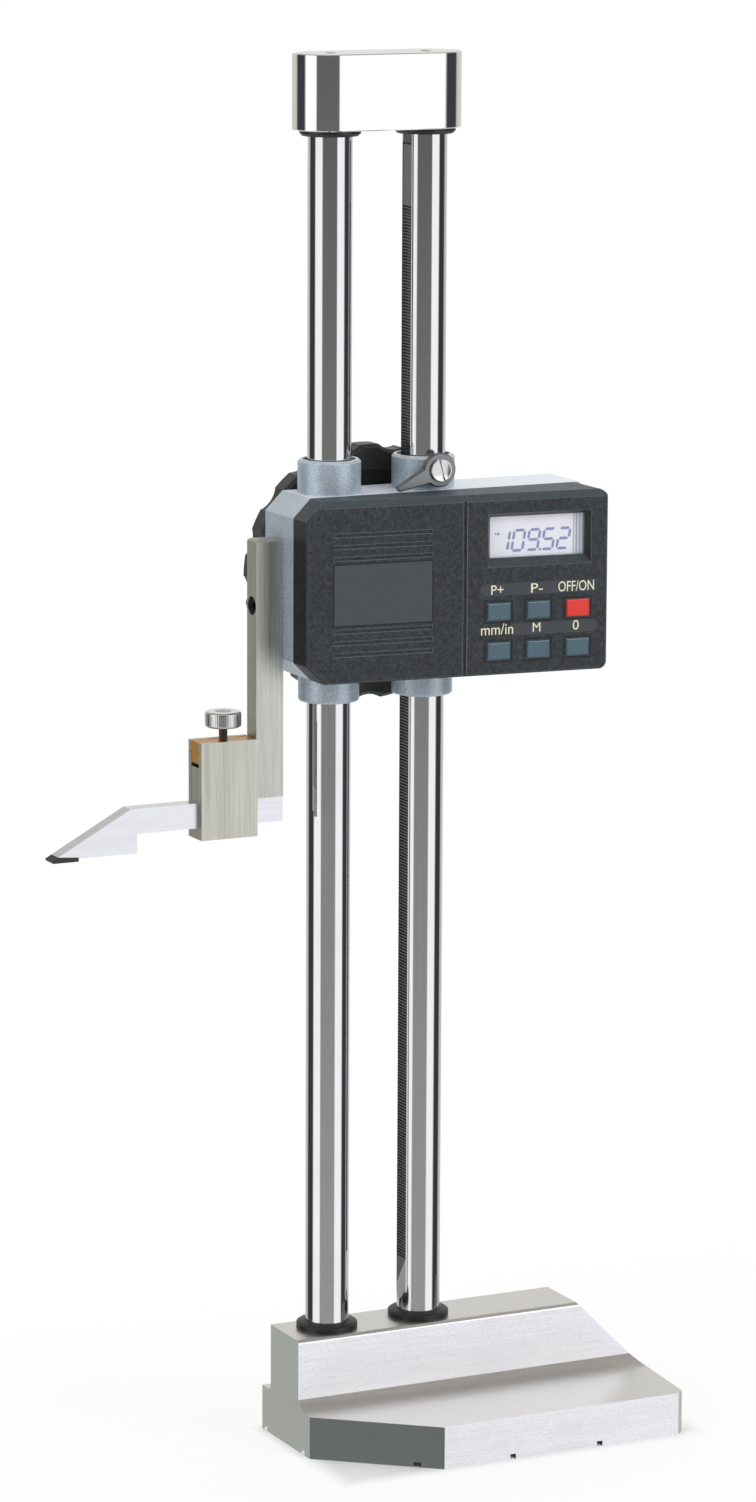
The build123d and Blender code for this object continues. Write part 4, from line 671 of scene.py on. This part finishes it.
def add_joint_highlight():
    """Painted highlight: the thin paler line where the display's half of the cover meets its joint."""
    # A pale sheet laid as a painted highlight along the joint's edge.
    material = cover_paint("joint_highlight_olive", srgb(118, 121, 112), 0.45, 0.5)
    left = key_centre("preset_up")[0] - SEAM_TO_KEY
    right = left + JOINT_HIGHLIGHT_WIDTH
    low, high = span("front_cover", panel_up)
    bottom, top = low + SEAM_MARGIN_LOW, high - SEAM_MARGIN_HIGH
    add_on_cover("joint_highlight", [(left, bottom), (right, bottom), (right, top), (left, top)], material)


def add_legends():
    """Printed legends over the keys, each drawn to its own width and height."""
    ink = plain_finish("legend_ink", srgb(244, 240, 206), 0.5, scale=3000, depth=0.000005, spread=0.12)
    for key, (words, width, height) in zip(KEYS, LEGENDS):
        along, level = key_centre(key)
        along -= LEGEND_SHIFT
        curve = bpy.data.curves.new("legend_" + key, "FONT")
        curve.body = words
        curve.align_x, curve.align_y = "CENTER", "CENTER"
        curve.resolution_u = 4
        text = bpy.data.objects.new("legend_" + key, curve)
        mesh = bpy.data.meshes.new_from_object(text)
        bpy.data.objects.remove(text)
        xs = [vertex.co.x for vertex in mesh.vertices]
        ys = [vertex.co.y for vertex in mesh.vertices]
        middle_x, middle_y = (min(xs) + max(xs)) / 2, (min(ys) + max(ys)) / 2
        for vertex in mesh.vertices:
            x = (vertex.co.x - middle_x) * width / (max(xs) - min(xs))
            y = (vertex.co.y - middle_y) * height / (max(ys) - min(ys))
            vertex.co = on_panel(along + x, level + LEGEND_RISE + y, STRIP_THICKNESS + LEGEND_LIFT)
        add_piece("legend_" + key, mesh, ink, "slider")


def segment_outlines():
    """Outlines of the seven segments of a digit, in a cell from (0, 0) to its width and height."""
    w, h, t, g = DIGIT_WIDTH, DIGIT_HEIGHT, DIGIT_STROKE, DIGIT_GAP
    half = t / 2

    def flat(y):
        start, end = half + g, w - half - g
        return [(g, y), (start, y + half), (end, y + half), (w - g, y), (end, y - half), (start, y - half)]

    def upright(x, low, high):
        start, end = low + half + g, high - half - g
        inner, outer = x - half, x + half
        return [(x, low + g), (outer, start), (outer, end), (x, high - g), (inner, end), (inner, start)]

    return {
        "a": flat(h - half), "g": flat(h / 2), "d": flat(half),
        "b": upright(w, h / 2, h - half), "c": upright(w, half, h / 2),
        "e": upright(0.0, half, h / 2), "f": upright(0.0, h / 2, h - half),
    }


LIT = {"0": "abcdef", "1": "bc", "2": "abdeg", "5": "acdfg", "9": "abcdfg"}


def add_reading():
    """The display's digits, a slanted row of seven-segment figures, and a small mark at its left."""
    ink = plain_finish("lcd_ink", srgb(142, 150, 192), 0.5, scale=2500, depth=0.000002, spread=0.25)
    left, right = span("lcd_window", panel_right)
    bottom, top = span("lcd_window", panel_up)
    floor = bottom + LCD_HIDDEN_EDGE + DIGIT_MARGIN_BOTTOM
    glass = span("lcd_panel", panel_out)[1] - panel_depth
    face = [(left, bottom), (right, bottom), (right, top), (left, top)]
    mesh = plate_mesh("lcd_face", face, lambda x, y, lift: on_panel(x, y, glass + lift), LCD_FACE_LIFT)
    add_piece("lcd_face", mesh, nodes["lcd_panel"].data.materials[0], "slider")
    glass += 2 * LCD_FACE_LIFT
    outlines = segment_outlines()
    cell = right - LCD_HIDDEN_EDGE - DIGIT_MARGIN_RIGHT - DIGIT_WIDTH
    shapes = []
    for figure in reversed(READING):
        if figure == ".":
            start = cell + DIGIT_PITCH - DOT_TO_DIGIT
            end = start + DOT_SIZE
            shapes.append([(start, 0.0), (end, 0.0), (end, DOT_SIZE), (start, DOT_SIZE)])
            continue
        shapes += [[(cell + x, y) for x, y in outlines[segment]] for segment in LIT[figure]]
        cell -= DIGIT_PITCH
    tip = left + LCD_HIDDEN_EDGE + MARK_MARGIN
    arrow, bar, end = tip + MARK_ARROW, tip + MARK_BAR, tip + MARK_LENGTH
    low, high = MARK_RISE - MARK_HALF, MARK_RISE + MARK_HALF
    shapes.append([(tip, MARK_RISE), (arrow, low - MARK_BARB), (arrow, high + MARK_BARB)])
    shapes.append([(bar, low), (end, low), (end, high), (bar, high)])
    points, faces = [], []
    for shape in shapes:
        faces.append(tuple(range(len(points), len(points) + len(shape))))
        points += [on_panel(x + DIGIT_SLANT * y, floor + y, glass) for x, y in shape]
    mesh = bpy.data.meshes.new("reading")
    mesh.from_pydata(points, [], faces)
    mesh.update()
    add_piece("reading", mesh, ink, "slider")


# ---------------------------------------------------------------- top cap
def rounded_outline(corners, steps=28):
    """Outline through (x, y, radius) corners, counterclockwise. A negative radius is a straight cut."""
    points = []
    count = len(corners)
    for index, (x, y, size) in enumerate(corners):
        corner = Vector((x, y))
        before = (Vector(corners[index - 1][:2]) - corner).normalized()
        after = (Vector(corners[(index + 1) % count][:2]) - corner).normalized()
        start, end = corner + before * abs(size), corner + after * abs(size)
        if size < 0:
            points += [start, end]
            continue
        centre = corner + (before + after) * size
        for step in range(steps + 1):
            angle = pi / 2 * step / steps
            points.append(centre - after * size * cos(angle) - before * size * sin(angle))
    return points


def prism_mesh(name, outline, bottom, top):
    """Upright block over a flat outline, between two heights."""
    return plate_mesh(name, outline, lambda x, y, lift: Vector((x, y, bottom + lift)), top - bottom)


def cylinder(name, x, y, radius, bottom, top, steps=64):
    angles = [2 * pi * step / steps for step in range(steps)]
    outline = [(x + radius * cos(angle), y + radius * sin(angle)) for angle in angles]
    return bpy.data.objects.new(name, prism_mesh(name, outline, bottom, top))


def finished_mesh(piece):
    """The piece's mesh with its modifiers applied, smooth across its round stretches."""
    bpy.context.view_layer.update()
    mesh = bpy.data.meshes.new_from_object(piece.evaluated_get(bpy.context.evaluated_depsgraph_get()))
    mesh.polygons.foreach_set("use_smooth", [True] * len(mesh.polygons))
    mesh.set_sharp_from_angle(angle=radians(28))
    return mesh


def add_cap():
    """The cap as one block, its corners round at the front and cut at the back, in the CAD cap's place."""
    low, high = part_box("top_cap")
    left, right = low[0] + CAP_LEFT_SHIFT, high[0] + CAP_RIGHT_SHIFT
    front, back = low[1] - CAP_FRONT_PROUD, high[1] + CAP_BACK_PROUD
    corners = [
        (left, front, CAP_LEFT_ROUND), (right, front, CAP_RIGHT_ROUND),
        (right, back, -CAP_CORNER), (left, back, -CAP_CORNER),
    ]
    block = bpy.data.objects.new("cap_block", prism_mesh("cap", rounded_outline(corners), low[2], high[2]))
    bpy.context.scene.collection.objects.link(block)
    edge = block.modifiers.new("edge", "BEVEL")
    edge.width, edge.segments = CAP_EDGE, 1
    edge.limit_method, edge.angle_limit = "ANGLE", radians(40)
    screws_low, screws_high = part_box("cap_screws")
    head_radius = (screws_high[1] - screws_low[1]) / 2 + CAP_HOLE_GAP
    cutters = []
    for side in ("left", "right"):
        column_low, column_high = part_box("column_" + side)
        x, y = (column_low[0] + column_high[0]) / 2, (column_low[1] + column_high[1]) / 2
        bore = (column_high[0] - column_low[0]) / 2 + CAP_HOLE_GAP
        column_top = column_high[2]
        below, above = low[2] - CAP_HOLE_GAP, high[2] + CAP_HOLE_GAP
        cutters.append(cylinder("bore_" + side, x, y, bore, below, column_top))
        cutters.append(cylinder("sink_" + side, x, y, head_radius, column_top - CAP_HOLE_GAP, above))
    for cutter in cutters:
        bpy.context.scene.collection.objects.link(cutter)
        cut = block.modifiers.new(cutter.name, "BOOLEAN")
        cut.object, cut.operation, cut.solver = cutter, "DIFFERENCE", "EXACT"
    finished = finished_mesh(block)
    for scratch in [block] + cutters:
        bpy.data.objects.remove(scratch)
    finished.materials.clear()
    cap = add_piece("cap", finished, nodes["top_cap"].data.materials[0], "stand")
    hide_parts("top_cap")


# ---------------------------------------------------------------- stage and light
FLOOR_RADIUS = 9
NEAR_WHITENESS = 0.85
FADE_REACH = 0.3
CONTACT_WIDTH = 0.006
WHITE, DARK, WARM = (1.08, 1.08, 1.08), (0.042, 0.047, 0.056), (0.57, 0.56, 0.49)
NO_LIGHT = (0, 0, 0)
SURROUNDINGS = (  # what metal reflects, by the angle in degrees from the camera's direction
    (0, NO_LIGHT), (36, NO_LIGHT), (41, WHITE), (76, WHITE), (84, DARK), (119, DARK), (127, WARM),
    (150, (0.64, 0.64, 0.61)), (180, (0.84, 0.84, 0.83)),
)
ROOM_TONE = (1.0, 1.0, 0.96)
STRIP_LIGHT = (1.9, 1.9, 1.9)
OVERHEAD_TONE = (0.42, 0.405, 0.365)
UNDERFOOT_TONE = (0.6, 0.6, 0.6)
FILL_TONE = (0.5, 0.5, 0.5)


def add_stage():
    """Pale floor that keeps the object's shadow near it and looks white to the camera farther out."""
    bpy.ops.mesh.primitive_circle_add(vertices=96, radius=FLOOR_RADIUS, fill_type="NGON", location=(0, 0, 0))
    floor = bpy.context.object
    floor.name = "floor"
    material, n = new_material("floor_white")
    where = n.where()
    path = n.add("ShaderNodeLightPath")
    tone = n.mix(n.remap(n.noise(where, 3), 0.3, 0.7), (0.93, 0.93, 0.93), (0.95, 0.95, 0.95))
    diffuse = n.add("ShaderNodeBsdfDiffuse")
    n.put(tone, diffuse.inputs["Color"])
    glow = n.add("ShaderNodeEmission")
    glow.inputs["Color"].default_value = (1, 1, 1, 1)
    glow.inputs["Strength"].default_value = 1.0
    blend = n.add("ShaderNodeMixShader")
    place = n.split(where)
    low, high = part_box("base")
    reach = []
    for axis in (0, 1):
        away = n.math("ABSOLUTE", n.minus(place[axis], (low[axis] + high[axis]) / 2))
        reach.append(n.minus(away, (high[axis] - low[axis]) / 2))
    outside = n.math("MAXIMUM", *reach)
    beyond = n.remap(outside, 0.0, FADE_REACH, NEAR_WHITENESS, 1.0, smooth=True)
    whiteness = n.times(n.remap(outside, -CONTACT_WIDTH, CONTACT_WIDTH, 0.0, 1.0), beyond)
    seen = n.math("MAXIMUM", path.outputs["Is Camera Ray"], path.outputs["Is Transmission Ray"])
    seen = n.math("MAXIMUM", seen, path.outputs["Is Glossy Ray"])
    n.put(n.times(seen, whiteness), blend.inputs["Fac"])
    n.link(diffuse.outputs[0], blend.inputs[1])
    n.link(glow.outputs[0], blend.inputs[2])
    output = n.add("ShaderNodeOutputMaterial")
    n.link(blend.outputs[0], output.inputs["Surface"])
    floor.data.materials.append(material)
    floor.visible_glossy = False


def add_world():
    """A studio that gives even light, and that metal sees as bright panels with darker gaps between them."""
    world = bpy.data.worlds.new("studio")
    bpy.context.scene.world = world
    world.use_nodes = True
    n = Nodes(world.node_tree)
    direction = n.add("ShaderNodeTexCoord").outputs["Generated"]
    x, y, z = n.split(direction)
    level = n.math("SQRT", n.plus(n.times(x, x), n.times(y, y)))
    front = (-sin(CAMERA_YAW), -cos(CAMERA_YAW))
    toward = n.plus(n.times(x, front[0]), n.times(y, front[1]))
    cosine = n.math("DIVIDE", toward, n.math("MAXIMUM", level, 0.001))
    angle = n.times(n.math("ARCCOSINE", n.math("MINIMUM", n.math("MAXIMUM", cosine, -1.0), 1.0)), 1 / pi)
    ramp = n.add("ShaderNodeValToRGB")
    n.link(angle, ramp.inputs["Fac"])
    elements = ramp.color_ramp.elements
    elements[0].color = (*SURROUNDINGS[0][1], 1)
    elements[-1].color = (*SURROUNDINGS[-1][1], 1)
    for degrees_from_camera, value in SURROUNDINGS[1:-1]:
        elements.new(degrees_from_camera / 180).color = (*value, 1)
    # Toward the camera there is only a dim room, a little lighter low down.
    centre = n.remap(angle, 36 / 180, 41 / 180, 1.0, 0.0)
    room = n.remap(z, -0.28, -0.05, 0.36, 0.11)
    behind_camera = n.mix(n.times(centre, room), NO_LIGHT, ROOM_TONE)
    pattern = n.mix(1.0, ramp.outputs["Color"], behind_camera, "ADD")
    overhead = n.remap(z, 0.4, 0.62, 0.0, 1.0, smooth=True)
    # Above eye level, a brighter strip crosses the bright panels.
    strip = n.times(n.remap(z, 0.02, 0.12), n.remap(z, 0.34, 0.44, 1.0, 0.0))
    strip = n.times(strip, n.times(n.remap(angle, 0.2, 0.24), n.remap(angle, 0.42, 0.5, 1.0, 0.0)))
    pattern = n.mix(strip, pattern, STRIP_LIGHT)
    underfoot = n.remap(z, -0.75, -0.35, 1.0, 0.0, smooth=True)
    studio = n.mix(overhead, pattern, OVERHEAD_TONE)
    studio = n.mix(underfoot, studio, UNDERFOOT_TONE)
    path = n.add("ShaderNodeLightPath")
    lit = n.mix(path.outputs["Is Glossy Ray"], FILL_TONE, studio)
    direct = n.math("MAXIMUM", path.outputs["Is Camera Ray"], path.outputs["Is Transmission Ray"])
    seen = n.mix(direct, lit, (1.0, 1.0, 1.0))
    background = n.add("ShaderNodeBackground")
    n.link(seen, background.inputs["Color"])
    background.inputs["Strength"].default_value = 1.0
    output = n.add("ShaderNodeOutputWorld")
    n.link(background.outputs[0], output.inputs["Surface"])


def add_lamp(name, size, energy, position, target):
    data = bpy.data.lights.new(name, "AREA")
    data.shape = "RECTANGLE"
    data.size, data.size_y = size
    data.energy = energy
    lamp = bpy.data.objects.new(name, data)
    lamp.location = position
    lamp.rotation_euler = (Vector(target) - Vector(position)).to_track_quat("-Z", "Y").to_euler()
    bpy.context.scene.collection.objects.link(lamp)
    lamp.visible_glossy = False


def add_lamps():
    add_lamp("key", (1.2, 1.6), 33, (1.6, -2.2, 2.0), (0, 0, 0.35))
    add_lamp("fill", (1.4, 1.8), 10, (-2.6, -0.9, 1.3), (0, 0, 0.35))
    add_lamp("top", (1.6, 1.6), 16, (0.1, 0.3, 2.6), (0, 0, 0.3))
    add_lamp("rear", (1.4, 1.6), 10, (0.8, 2.4, 1.6), (0, 0, 0.35))


paint_everything()
add_strips()
add_shade_frames()
add_joint_highlight()
add_legends()
add_reading()
add_cap()
add_camera()
add_stage()
add_world()
add_lamps()
bpy.context.scene.view_settings.view_transform = "Standard"
